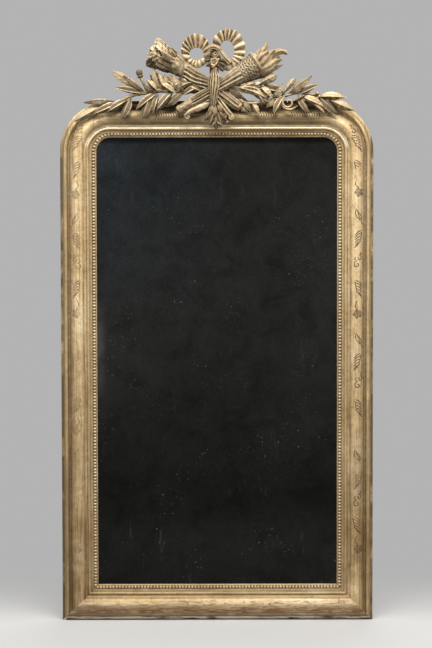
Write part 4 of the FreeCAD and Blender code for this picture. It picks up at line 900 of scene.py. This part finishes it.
# Quiver: its axis, ribs round it, where they start and end, where the arrows stand and how far they reach
QUIVER = slant(-1, 33.5, 3, 64)
RIBS, RIBS_LOW, RIBS_HIGH, ARROW_ROOT, ARROW_REACH = 13, 6, 102, 147, 76

# Flames: points by pixel, widths along them, thickness and depth
FLAMES = (
    (((260, 58), (263, 52), (266, 47), (267.3, 40.8)), (26, 23, 14, 3), 12, 68),
    (((262, 60), (271, 55.5), (279, 51.8), (284, 52), (287.3, 54.2)), (24, 25, 19, 14, 8), 12, 70),
    (((264, 66), (271, 62.5), (276, 58.5), (279.5, 57)), (24, 22, 14, 4), 11, 72),
    (((262, 73), (269, 69.5), (275.5, 68), (282.5, 64.8)), (22, 20, 13, 3), 11, 66),
    (((256, 59), (259, 53), (261, 47.5)), (20, 17, 4), 10, 62),
    (((259, 66), (266, 60), (270, 54.5), (274, 50.5)), (22, 26, 20, 8), 13, 80),
    (((261, 70), (269, 66.5), (275, 62), (281, 59.5)), (20, 24, 19, 8), 12, 83),
    (((257, 61), (262, 56), (268, 52)), (18, 21, 12), 11, 78),
    (((262, 70), (268, 66), (274, 64)), (18, 16, 5), 10, 78),
    (((259, 76), (265, 75.5), (270, 73.5), (274, 70.5)), (18, 15, 9, 3), 8, 62),
)


def ridge(phase, height):
    """Narrow ridges with broad grooves between them."""
    return height * (abs(cos(phase / 2)) ** 2.2 - 0.45)


def lumps(along, turn, pace, spread):
    return noise.noise(Vector((along * pace, cos(turn) * spread, sin(turn) * spread)))


def make_torch():
    def reeds(along, turn):
        lean = atan2(sin(turn), cos(turn))
        fade = limited((along + 78) / 8) * limited((BOWL_LOW - along) / 4)
        return fade * ridge(turn * REEDS, 4.6) * limited((lean + 1.0) * 3) if lean < 2 else 0

    def butt(along, turn):
        return 2.0 * lumps(along, turn, 0.14, 1.6)

    def scales(along, turn):
        row = (along - BOWL_LOW) / SCALE_TALL + 0.3 * lumps(along, turn, 0.1, 3)
        level = row // 1
        column = turn / tau * SCALES + 0.5 * (level % 2) + 0.2 * sin(level * 2.3)
        across, up = (column % 1) * 2 - 1, row - level
        scale = 3.2 * max(0, 1 - abs(up - 0.7 * across * across - 0.1) * 1.1) - 1.7
        return scale if BOWL_LOW < along < BOWL_HIGH else 0

    form = Form()
    turned(form, *TORCH, [(-123, 3), (-122, 8), (-119, 11.2), (-110, 12.2), (-106, 11.0), (-80, 13.4)], 48, 3,
           butt, mark=1)
    turned(form, *TORCH, [(-82, 12), (-81, 14), (-78, 14.4), (-74, 13.8), (0, 15.6), (45, 19.8), (66, 23.2),
                          (84, 26.4), (88, 26)], 156, 3, reeds, sunk=-0.4)
    form.carving("torch_reeds", "torch_shaft", GILT_DULL, GILT_SHADE)
    form = Form()
    # The bowl's scales in painted shade, their hollows in painted shadow
    turned(form, *TORCH, [(85, 22), (86, 26.6), (90, 27.6), (104, 31), (120, 34), (134, 36), (136, 36)], 132, 1.1,
           scales, mark=2, back_limit=CREST_BACK, sunk=-0.15)
    turned(form, *TORCH, [(135, 34), (136.5, 39), (139, 40.6), (142, 40.6), (144.5, 38.6), (145, 35.5), (143, 33),
                          (124, 27), (123, 10)], 64, 1.5, back_limit=CREST_BACK)
    form.carving("torch_bowl", "torch_cup", GILT_DULL, GILT_SHADOW, GILT_SHADE)
    form = Form()
    tube(form, spots((255, 67.5, 60), (262, 63, 64), (269, 59.5, 64), (274, 57.5, 62)), [26, 23, 15, 5],
         sides=28, steps=8, flat=0.75, lump=0.9)
    # Flames in the paler copy of the gilt, painted light
    for points, widths, thick, deep in FLAMES:
        points = [spot(*point, deep + 4 * sin(at * 1.3)) for at, point in enumerate(points)]
        flake(form, points, widths, thick, 0.75, flutes=2)
    form.carving("torch_flames", "torch_flame", GILT_LIT)


def on_quiver(along, turn, reach):
    """A point on the quiver: turn 0 is in front and grows downwards."""
    base, way = QUIVER
    aside, ahead = facing(way)
    return base + way * along + (ahead * cos(turn) + aside * sin(turn)) * reach


def quiver_band(form, along, tilt, reach):
    """A strap round the quiver, tilted from its place along."""
    section = ((-1, -1.5), (-0.9, 1.0), (-0.5, 2.2), (0, 0.9), (0.5, 2.2), (0.9, 1.0), (1, -1.5))
    form.loft([[on_quiver(along - tilt * sin(turn) + a * 3.3, turn, reach + b) for a, b in section]
               for turn in turns(56)], closed=True)


def make_quiver():
    def ribs(along, turn):
        lean = atan2(sin(turn), cos(turn))
        if RIBS_LOW < along < RIBS_HIGH:
            fade = min(1, (RIBS_HIGH - along) / 6) * limited((lean + 1.25) * 2.5)
            return fade * ridge(turn * RIBS - 0.11 * along + 1.5 * sin(along / 13), 5.6)
        if -84 < along < -18:
            return ridge(turn * 9 + 0.05 * along, 4.4)
        return 0

    def worn(along, turn):
        return 2.4 * lumps(along, turn, 0.09, 2.4) + ridge(turn * 11 + 0.05 * along, 1.4) if along < 156 else 0

    form = Form()
    turned(form, *QUIVER, [(-117, 0.5), (-112, 3.4), (-104, 7.0), (-98, 8.6), (-95, 6.2), (-92, 6.6), (-90, 12.5),
                           (-86, 13.4), (-84, 12.8), (104, 24), (116, 24.6)], 150, 1.8, ribs, sunk=-0.4)
    turned(form, *QUIVER, [(116, 24), (119, 24.6), (126, 26), (138, 27.6), (148, 29), (155, 30), (157, 29.4),
                           (156, 26), (147, 25), (146.6, 10)], 96, 2, worn, mark=1)
    quiver_band(form, 117, 2, 24.4)
    quiver_band(form, 104, 12, 24.0)
    for turn in (-0.98, -1.28):
        strip = ((112, 23), (124, 25), (140, 27.6), (150, 29), (158, 31))
        flake(form, [on_quiver(along, turn, reach) for along, reach in strip], (4, 6, 6.5, 7, 6), 3.4, 0.3)
    form.carving("quiver_ribbed", "quiver", GILT_DULL, GILT_SHADE)

    form = Form()
    base, way = QUIVER
    down, ahead = facing(way)
    for row, places in ((-0.6, (-2.1, -0.7, 0.7, 2.1)), (0.3, (-1.8, -0.3, 1.2)), (1.0, (-1.5, 0.2, 1.7)),
                        (1.6, (-0.8, 0.7))):
        for place in places:
            root = base + way * ARROW_ROOT + down * (place * 9) + ahead * (row * 11)
            reach = ARROW_REACH - 3 * abs(place) + random.uniform(-11, 4) - 5 * max(0, row)
            tip = root + way * reach + down * (place * 6.5 + random.uniform(-5, 5)) + ahead * (row * 5)
            start = root + (tip - root) * 0.16
            tube(form, [root, start, tip], [2.2, 2.4, 2.0], sides=8, steps=3)
            # Feathers with mark 1 are in painted shadow
            leaf(form, start, tip, random.uniform(22, 29), bow=2, thick=11, veins=4, vein=0.5, teeth=4,
                 roll=random.uniform(-38, 38), stations=36, outline=FEATHER, mark=int(place > 1.2))
    # Feathers round the mouth, some of them in painted shadow
    for at in range(9):
        turn = -1.5 + at * 0.4 + random.uniform(-0.08, 0.08)
        low, high = 138 + random.uniform(-5, 3), 172 + random.uniform(-6, 12)
        leaf(form, on_quiver(low, turn, 26), on_quiver(high, turn + random.uniform(-0.1, 0.1), 33),
             random.uniform(13, 17), bow=2, thick=6, veins=7, vein=0.5, teeth=7, roll=random.uniform(-20, 20),
             stations=26, outline=FEATHER, mark=int(at % 3 == 1 or at > 6))
    form.carving("arrow_feathers", "arrows", GILT_RIBBON, GILT_SHADOW)


def make_loop(name, centre, outer, hole_centre, hole, start, pleats, depth=54):
    """A crimped ribbon loop round a hole."""
    form = Form()
    rings = []
    steps = pleats * 12
    for step in range(steps + 1):
        share = step / steps
        turn = tau * (start + 0.94 * share)
        phase = share * pleats + 0.3 * sin(share * 17)
        wave = 2 * abs(sin(pi * phase)) ** 0.75 - 1
        wave *= eased(((-1, 0.4), (-0.3, 0.5), (0.3, 1), (1, 1)), sin(turn))
        flare = 1 + 0.03 * wave
        rim, eye = (Vector((middle[0] + size[0] * cos(turn) * spread, BACK_PLANE - depth,
                            middle[1] + size[1] * sin(turn) * spread))
                    for middle, size, spread in ((centre, outer, flare), (hole_centre, hole, 1)))
        ring = []
        for lane in (0, 0.12, 0.3, 0.5, 0.7, 0.88, 1):
            point = eye + (rim - eye) * lane
            point.y -= 5 * sin(pi * (0.12 + 0.76 * lane)) + wave * (3.2 + 3.6 * lane)
            ring.append(point)
        ring += [point + BACK * 4.2 for point in (ring[6], ring[3], ring[0])]
        rings.append(ring)
    form.loft(rings)
    form.carving(name.replace("bow_loop", "ribbon_loop"), name, GILT_RIBBON, crease=32)


def make_bow():
    make_loop("bow_loop_left", (-59, 1640), (41.5, 48), (-57, 1631.8), (20.5, 18.3), 0.03, 15)
    make_loop("bow_loop_right", (33, 1643), (48, 59), (29.6, 1639.8), (21.3, 30.5), 0.55, 16)
    form = Form()
    flake(form, spots((203.5, 52, 62), (207, 49, 68), (212.5, 46.6, 71), (217.5, 48, 70), (221, 51.5, 66)),
          (12, 14, 15, 14, 11), 5, 0.3, flutes=2)
    turned(form, spot(213.5, 55, 40), FRONT, [(-4, 14), (14, 15), (18, 13), (20.5, 8), (21, 2)], 36, 3)
    coil(form, spot(215.5, 54.2, 62), 10, 1.9, 2.4, start=0.3, lift=7)
    leaf(form, spot(210.5, 51.5, 64), spot(205.5, 56.5, 66), 13, bow=4, thick=5)
    form.carving("bow_rosette", "bow_knot", GILT_CARVED)
    form = Form()
    flake(form, spots((218.5, 49.5, 66), (222, 53.5, 68), (226, 58.5, 66), (230.5, 62.8, 62)),
          (9, 13, 15, 16), 4.6, 0.4, flutes=2)
    form.carving("ribbon_end", "bow_tail", GILT_RIBBON)

    def petals(along, turn):
        return 2.6 * abs(sin(turn * 2.5 + 0.4)) - 1.6 + 0.8 * sin(turn * 2) if along > 9 else 0

    form = Form()
    for x, y, size, squash in ((208.4, 58.2, 6.4, 0.9), (212.6, 61.6, 9.2, 1.1), (218.2, 60.2, 7.4, 1.0),
                               (213.4, 66.4, 6.8, 1.0), (218.6, 65.0, 7.8, 0.9), (209.0, 64.4, 5.2, 0.8),
                               (215.9, 69.0, 4.8, 0.8)):
        form.ball(spot(x, y, 58 + random.uniform(-3, 5)), size, squash)
    turned(form, spot(213.8, 63.0, 46), FRONT,
           [(0, 11), (10, 13), (15, 14.5), (19, 13), (21.5, 9.5), (21, 7), (19, 5)], 60, 1.6, petals)
    # Painted shadow on the middle ball, the small leaves and the disc behind them
    form.ball(spot(214.4, 63.0, 65), 4.4, 0.7, mark=1)
    for x, y, tip_x, tip_y, wide in ((217.5, 62, 225.5, 66.5, 15), (212, 63, 205.5, 66.5, 13),
                                     (219, 65, 223.5, 72, 14), (211, 60, 204.5, 61, 11), (219, 60, 226, 61.5, 11)):
        leaf(form, spot(x, y, 60), spot(tip_x, tip_y, 64), wide, bow=4, thick=5, stations=12, mark=1)
    turned(form, spot(214.5, 62.5, 40), FRONT, [(0, 15), (16, 15), (20, 10), (21, 3)], 24, 6, mark=1)
    form.carving("berries", "berry_cluster", GILT_CARVED, GILT_SHADOW)


# Pleated sheaf: foot and height over the crossing, half breadth, reach forward, rows and lanes of its skin
SHEAF_FOOT, SHEAF_TALL, SHEAF_HALF, SHEAF_REACH, SHEAF_ROWS, SHEAF_LANES = -50, 110, 18.5, 50, 50, 96
SHEAF_WIDE = ((-50, 0.56), (-36, 0.64), (-12, 0.86), (14, 1.10), (36, 0.92), (50, 0.54), (60, 0.22))
SHEAF_DEEP = ((-50, 0.80), (-36, 0.90), (-12, 0.98), (14, 1.0), (36, 0.98), (50, 0.86), (60, 0.72))


def make_wrap():
    """The pleated sheaf round the crossing, in front of torch and quiver."""
    def level(row):
        return SHEAF_FOOT + SHEAF_TALL * row / SHEAF_ROWS

    def crease(angle, height):
        return abs(cos(angle * 7.5 + 0.8 * sin(angle * 2.3 + 0.6) + 0.35 * sin(height / 17) + 0.006 * height))

    def in_crease(row, lane):
        return int(lane < SHEAF_LANES and crease(pi * (1 - (lane + 0.5) / SHEAF_LANES), level(row)) < 0.24)

    form = Form()
    rings = []
    for row in range(SHEAF_ROWS + 1):
        height = level(row)
        half, reach = SHEAF_HALF * eased(SHEAF_WIDE, height), SHEAF_REACH * eased(SHEAF_DEEP, height)
        ring = []
        for at in range(SHEAF_LANES + 1):
            angle = pi * (1 - at / SHEAF_LANES)
            sunk = 1 - 0.13 * (1 - crease(angle, height)) ** 1.1
            ring.append(CROSSING + Vector((half * sunk * cos(angle) - 0.05 * (30 - height),
                                           CREST_BACK - 12 - reach * sunk * sin(angle) ** 0.42, height)))
        ring += [CROSSING + Vector((half * side, CREST_BACK, height)) for side in (0.95, -0.95)]
        rings.append(ring)
    form.loft(rings, face_mark=in_crease)
    form.carving("pleated_sheaf", "center_wrap", GILT_RIBBON, GILT_SHADE)


def lit(*place, **carving):
    """A leaf of a branch: pixels of root and tip, depth of the tip, width, and how it is carved."""
    return place, carving


def shaded(*place, **carving):
    """The same with painted shade on the faces between rim and rib, and on the back."""
    return lit(*place, **carving, shaded=True)


# Laurel stems by pixel and depth, and their leaves
LEFT_STEM = ((204, 88, 60), (181, 91, 66), (160, 91, 68), (146, 93, 68), (131, 96, 68), (120, 101, 68),
             (108, 105, 67), (97, 107.5, 64))
LEFT_LEAVES = (
    lit(113, 102, 84, 103, 66, 20, bend=-3, roll=22),
    shaded(119, 102, 92, 114, 74, 25, bend=2, roll=-24),
    lit(101, 107, 73, 122, 66, 25, teeth=9, veins=8, roll=-8),
    shaded(127, 100, 107.5, 111.5, 78, 24, roll=-22),
    shaded(131, 98, 121.5, 119.5, 81, 27, roll=24, bow=4),
    shaded(157, 93, 136, 109, 77, 26, roll=-26, teeth=8),
    shaded(151, 94, 142.5, 119.5, 82, 29, roll=16, bow=4, teeth=8, veins=8),
    shaded(158, 95, 152.5, 113, 77, 21, roll=-26),
    shaded(173, 91, 156, 110.5, 79, 27, roll=-16, veins=8, teeth=8),
    shaded(183, 92, 166, 107, 74, 24, roll=22, teeth=8),
    lit(181, 92, 169.5, 75, 68, 25, roll=18),
    lit(178, 89, 193, 82.5, 74, 13, bend=2, bow=9),
    shaded(196, 87, 182, 95, 66, 22, roll=-30),
)
LEFT_TWIG = ((168, 91, 70), (158, 90, 71), (148, 91, 71), (139, 92.5, 69))
LEFT_SPRIG = (
    shaded(142, 92.5, 115, 87, 64, 22, roll=-40, bend=2),
    lit(141, 91, 113, 71.5, 62, 27, outline=ROUNDED, roll=18, teeth=6),
    lit(144, 91.5, 123.5, 75.5, 75, 19, roll=16, bow=9),
    lit(161, 91, 153, 68, 68, 25, teeth=8, veins=8, roll=14),
    lit(158, 91, 146, 79, 70, 20, teeth=7, roll=-18),
    lit(155, 92, 143, 85, 74, 15, teeth=6, roll=20),
    lit(168, 91, 164.5, 74, 68, 24, roll=20, teeth=7),
    lit(164, 90, 158, 72, 75, 17, roll=-16, teeth=7),
    lit(170, 90, 174, 79, 66, 18, roll=-26),
    shaded(188, 86, 177, 79, 58, 24, roll=-35),
    shaded(184, 90, 161, 77, 60, 34, roll=-20, teeth=8),
    shaded(203, 92, 176, 80, 54, 40, roll=-20, teeth=7, veins=8),
    lit(184, 91, 171.5, 74.5, 72, 24, roll=30, teeth=6, veins=7),
    shaded(166, 92, 150, 75, 60, 32, roll=10, teeth=8),
    lit(176, 93, 160, 82, 77, 18, roll=-30, teeth=7),
)
RIGHT_STEM = ((226, 91, 60), (240, 100, 66), (250, 103.5, 69), (268, 101, 70), (280, 97.5, 68), (296, 93, 68),
              (313, 94.5, 68), (324, 98, 67), (334, 101.5, 64))
RIGHT_LEAVES = (
    lit(263, 101, 273, 86.5, 68, 24, roll=16, teeth=7),
    lit(272, 99, 283, 84, 70, 22, roll=-22, teeth=7),
    shaded(283, 96, 273.5, 113.5, 81, 26, roll=-22, bow=4),
    lit(281, 96, 295.5, 78, 68, 18, outline=ROUNDED, teeth=5),
    lit(288, 94.5, 311.8, 76.3, 72, 23, roll=-20, bow=9),
    shaded(298, 94, 317.8, 84.8, 66, 23, roll=38),
    lit(300, 96, 325, 107.3, 79, 23, roll=22, bend=2),
    shaded(298, 96, 309, 113.5, 80, 23, roll=-32, bow=4),
    lit(311, 100, 324.5, 112.5, 78, 15, roll=26),
    shaded(318, 97, 338, 115, 76, 26, roll=-24),
    lit(318, 96.5, 347, 97.8, 69, 23, teeth=9, veins=8, bend=3, roll=20),
    lit(329, 100, 355, 111, 66, 27, teeth=9, veins=8, roll=10),
    lit(252, 103, 259, 115, 77, 19, roll=16),
    lit(243, 101, 252, 112, 74, 17, roll=-20),
    lit(306, 95, 294, 101, 74, 12),
    lit(275, 99, 266, 108, 77, 17, roll=24),
)
RIGHT_TWIG = ((228, 90, 62), (240, 87, 67), (252, 86.5, 70), (263, 84, 70))
RIGHT_SPRIG = (
    lit(256, 86, 277, 75.2, 74, 25, outline=ROUNDED, bow=9),
    lit(236, 87, 267, 98.5, 76, 27, veins=9, roll=20, thick=8, bend=6),
    lit(250, 87, 266, 81.5, 70, 17, roll=16),
    lit(243, 87, 263, 87.5, 74, 17, roll=-20, bend=3),
    lit(260, 86, 272.5, 98, 76, 21, roll=24, teeth=7),
    lit(264, 85, 281, 88, 70, 16, roll=-16, teeth=6),
    shaded(226, 86, 268, 91.5, 58, 28, roll=-25, bend=-2),
    shaded(248, 88, 271, 103.5, 68, 24, roll=24),
    lit(240, 89, 259, 91, 80, 15, roll=-18, bend=3),
    shaded(226, 87, 247, 101, 62, 20, roll=-20),
    shaded(254, 87, 265, 104, 74, 20, roll=20),
    lit(243, 86, 257, 82.5, 72, 13, roll=20),
    shaded(262, 88, 284, 92.5, 62, 24, roll=20, teeth=7),
)
DROP_LEAVES = (
    lit(214, 105, 207.5, 114, 82, 16, teeth=5, roll=20),
    lit(217, 105, 223.5, 112.5, 82, 15, teeth=5, roll=-20),
    lit(215.5, 106, 214.5, 116.5, 86, 16, teeth=5),
    shaded(213, 110, 204.5, 121, 79, 21, teeth=7, roll=15),
    shaded(218, 110, 227, 122, 79, 21, teeth=7, roll=-15),
    shaded(214.5, 111, 209.5, 126.5, 79, 20, teeth=7),
    shaded(217, 111, 221.5, 127, 79, 20, teeth=7),
    shaded(215.8, 111, 216, 131, 78, 22, teeth=7, veins=8),
    lit(215, 121, 222.5, 126.5, 84, 13),
    lit(217, 121, 212, 126.5, 84, 12),
)
BUD = [(-1, 4), (1, 8), (3, 8.8), (5, 8), (7, 6.6), (9, 8.6), (15, 9.4), (20, 8.4), (22, 5), (23, 1)]


def leaves(form, blades, deep):
    for (x, y, tip_x, tip_y, tip_deep, width), carving in blades:
        leaf(form, spot(x, y, deep), spot(tip_x, tip_y, tip_deep), width, **carving)


def grow(stem, blades, deep):
    """A new form with a stem and its leaves, which spring from one depth."""
    form = Form()
    tube(form, spots(*stem), [5.4, 5.0, 4.4, 3.0], lump=0.4)
    leaves(form, blades, deep)
    return form


def make_laurel():
    grow(LEFT_STEM, LEFT_LEAVES, 67).carving("laurel_left", "laurel_branch_left", GILT_CARVED, GILT_SHADOW)
    form = grow(LEFT_TWIG, LEFT_SPRIG, 70)
    bud, bud_tip = spots((140.6, 77.5, 71), (138.2, 69, 71))
    tube(form, spots((146.5, 91, 69), (143.8, 84, 71)) + [bud], [3.2, 3.8, 4.4])
    # The bud in painted shadow
    turned(form, bud, (bud_tip - bud).normalized(), BUD, 28, 1.5, mark=1)
    form.carving("laurel_twig_left", "laurel_sprig_left", GILT_CARVED, GILT_SHADOW)
    form = grow(RIGHT_STEM, RIGHT_LEAVES, 67)
    coil(form, spot(288.5, 102.5, 76), 19, 1.15, 3.0, start=0.35, lift=3)
    flake(form, spots((281, 104, 74), (285, 108.5, 78), (291, 109.5, 79), (297.5, 106, 76)), (5, 7, 8, 4), 4, 0.5)
    for x, y in ((317.5, 93.5), (319.3, 96.6), (316.8, 98.5)):
        form.ball(spot(x, y, 73), 5.6)
    form.carving("laurel_right", "laurel_branch_right", GILT_CARVED, GILT_SHADOW)
    grow(RIGHT_TWIG, RIGHT_SPRIG, 70).carving("laurel_twig_right", "laurel_sprig_right", GILT_CARVED, GILT_SHADOW)


def make_drop():
    form = Form()
    flake(form, spots((211, 103, 74), (205, 105, 79), (197.5, 108, 81), (190.5, 111, 81), (186, 114.5, 80),
                      (185, 117.5, 78)), (10, 21, 20, 15, 10, 6), 6, 0.35)
    coil(form, spot(187, 117, 78), 7.5, 1.5, 2.4, start=0.4, lift=4, hand=-1)
    form.carving("scroll", "scroll_leaf", GILT_CARVED)
    form = Form()
    for shift in (0, 2.8):
        cord = ((217, 100, 74), (221.5, 106, 80), (226, 112, 81), (229.5, 116, 80))
        tube(form, [spot(x + shift, y - shift * 0.4, deep) for x, y, deep in cord], [3.0, 3.6, 3.8, 3.2], steps=5)
    coil(form, spot(231.8, 117.4, 80), 7.5, 1.4, 2.5, start=0.35, lift=4)
    form.carving("cord_curl", "tassel", GILT_CARVED)
    form = Form()
    leaves(form, DROP_LEAVES, 78)
    for x, y, size in ((222.4, 113.6, 4), (225.2, 116.8, 4.6), (223.4, 120, 4), (227, 122, 4.2),
                       (208, 113.6, 3.6), (206.4, 117, 3.6)):
        form.ball(spot(x, y, 81), size)
    form.carving("acanthus", "acanthus_drop", GILT_CARVED, GILT_SHADOW)


# Pieces that keep their solids

def finish_solids():
    upright = pine("carcase_upright", (0.36, 0.225, 0.115), (0.235, 0.135, 0.062), "Z")
    across = pine("carcase_across", (0.35, 0.22, 0.115), (0.225, 0.13, 0.060), "X")
    boards = [pine(f"board_{at}", (0.31, 0.20, 0.105), (0.19, 0.112, 0.052), "X", shade)
              for at, shade in enumerate((1.0, 0.88, 1.1))]
    dark_iron = iron("dark_iron", (0.055, 0.050, 0.047), 0.55)
    ring_iron = iron("ring_iron", (0.085, 0.078, 0.070), 0.35)
    # The first start of a name that fits picks the finish
    finishes = [("mirror_glass", old_glass("old_glass")), ("tin_backing", tin("tin_foil"))]
    finishes += [("hanger_ring", ring_iron)]
    finishes += [(start, dark_iron) for start in ("hanger", "backboard_nails", "crest_strap", "crest_screws")]
    finishes += [(f"backboard_{at}", boards[at % 3]) for at in range(1, 6)]
    finishes += [("rail", across), ("glass", across), ("", upright)]
    for name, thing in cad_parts.items():
        finish = next(finish for start, finish in finishes if name.startswith(start))
        if not thing.material_slots:
            thing.data.materials.append(finish)
        for slot in thing.material_slots:
            slot.link = "OBJECT"
            slot.material = finish


# Floor, light and camera

def make_stage():
    """A pale floor that fades into the backdrop at an oval round the mirror."""
    g = new_material("floor")
    x, y, _ = g.xyz
    reach = g.length(g.math("DIVIDE", x, 2.3), g.math("DIVIDE", g.plus(y, 0.6), 1.25))
    pale = g.node("BsdfDiffuse", Color=(0.69, 0.68, 0.658))
    finish = g.surface(g.blend(g.between(reach, 1.0, 0.5), g.node("BsdfTransparent"), pale))
    mesh = bpy.data.meshes.new("floor")
    mesh.from_pydata([(-3, -2.4, 0), (3, -2.4, 0), (3, 1.2, 0), (-3, 1.2, 0)], [], [(0, 1, 2, 3)])
    mesh.materials.append(finish)
    floor = bpy.data.objects.new("floor", mesh)
    scene.collection.objects.link(floor)


def lamp(name, place, size, power, target=(0, 0, 0.9)):
    light = bpy.data.lights.new(name, "AREA")
    light.shape = "RECTANGLE"
    light.size, light.size_y = size
    light.energy = power
    made = bpy.data.objects.new(name, light)
    made.location = place
    made.rotation_euler = (Vector(target) - Vector(place)).to_track_quat("-Z", "Y").to_euler()
    scene.collection.objects.link(made)


def make_light():
    """Four soft lamps, and a world that lights faintly and shows as a plain grey backdrop."""
    lamp("key", (0.1, -1.75, 3.6), (2.4, 1.0), 102)
    lamp("fill_right", (3.0, -2.1, 2.0), (1.4, 2.2), 44)
    lamp("fill_left", (-3.0, -2.1, 2.0), (1.4, 2.2), 45)
    lamp("behind", (0.4, 1.8, 3.0), (2.2, 1.4), 24)
    g = Graph(bpy.data.worlds.new("studio"))
    path = g.node("LightPath").outputs
    seen = g.most(path["Is Camera Ray"], path["Is Glossy Ray"], path["Is Transmission Ray"])
    light = g.node("Background", Color=(0.95, 0.97, 1.0), Strength=0.24)
    backdrop = g.node("Background", Color=(0.451, 0.451, 0.451))
    scene.world = g.surface(g.blend(seen, light, backdrop), "OutputWorld")


def make_camera():
    data = bpy.data.cameras.new("camera")
    data.sensor_width = 36.0
    data.lens = data.sensor_width * FOCAL / IMAGE[1]
    data.clip_end = 100
    made = bpy.data.objects.new("camera", data)
    made.matrix_world = (Matrix.Translation(CAMERA * 0.001) @ Matrix.Rotation(pi / 2 - PITCH, 4, "X")
                         @ Matrix.Rotation(ROLL, 4, "Z"))
    scene.collection.objects.link(made)
    scene.camera = made


make_mouldings()
make_beads()
make_engraving()
make_torch()
make_quiver()
make_bow()
make_wrap()
make_laurel()
make_drop()
finish_solids()
make_stage()
make_light()
make_camera()
scene.view_settings.view_transform = "Standard"
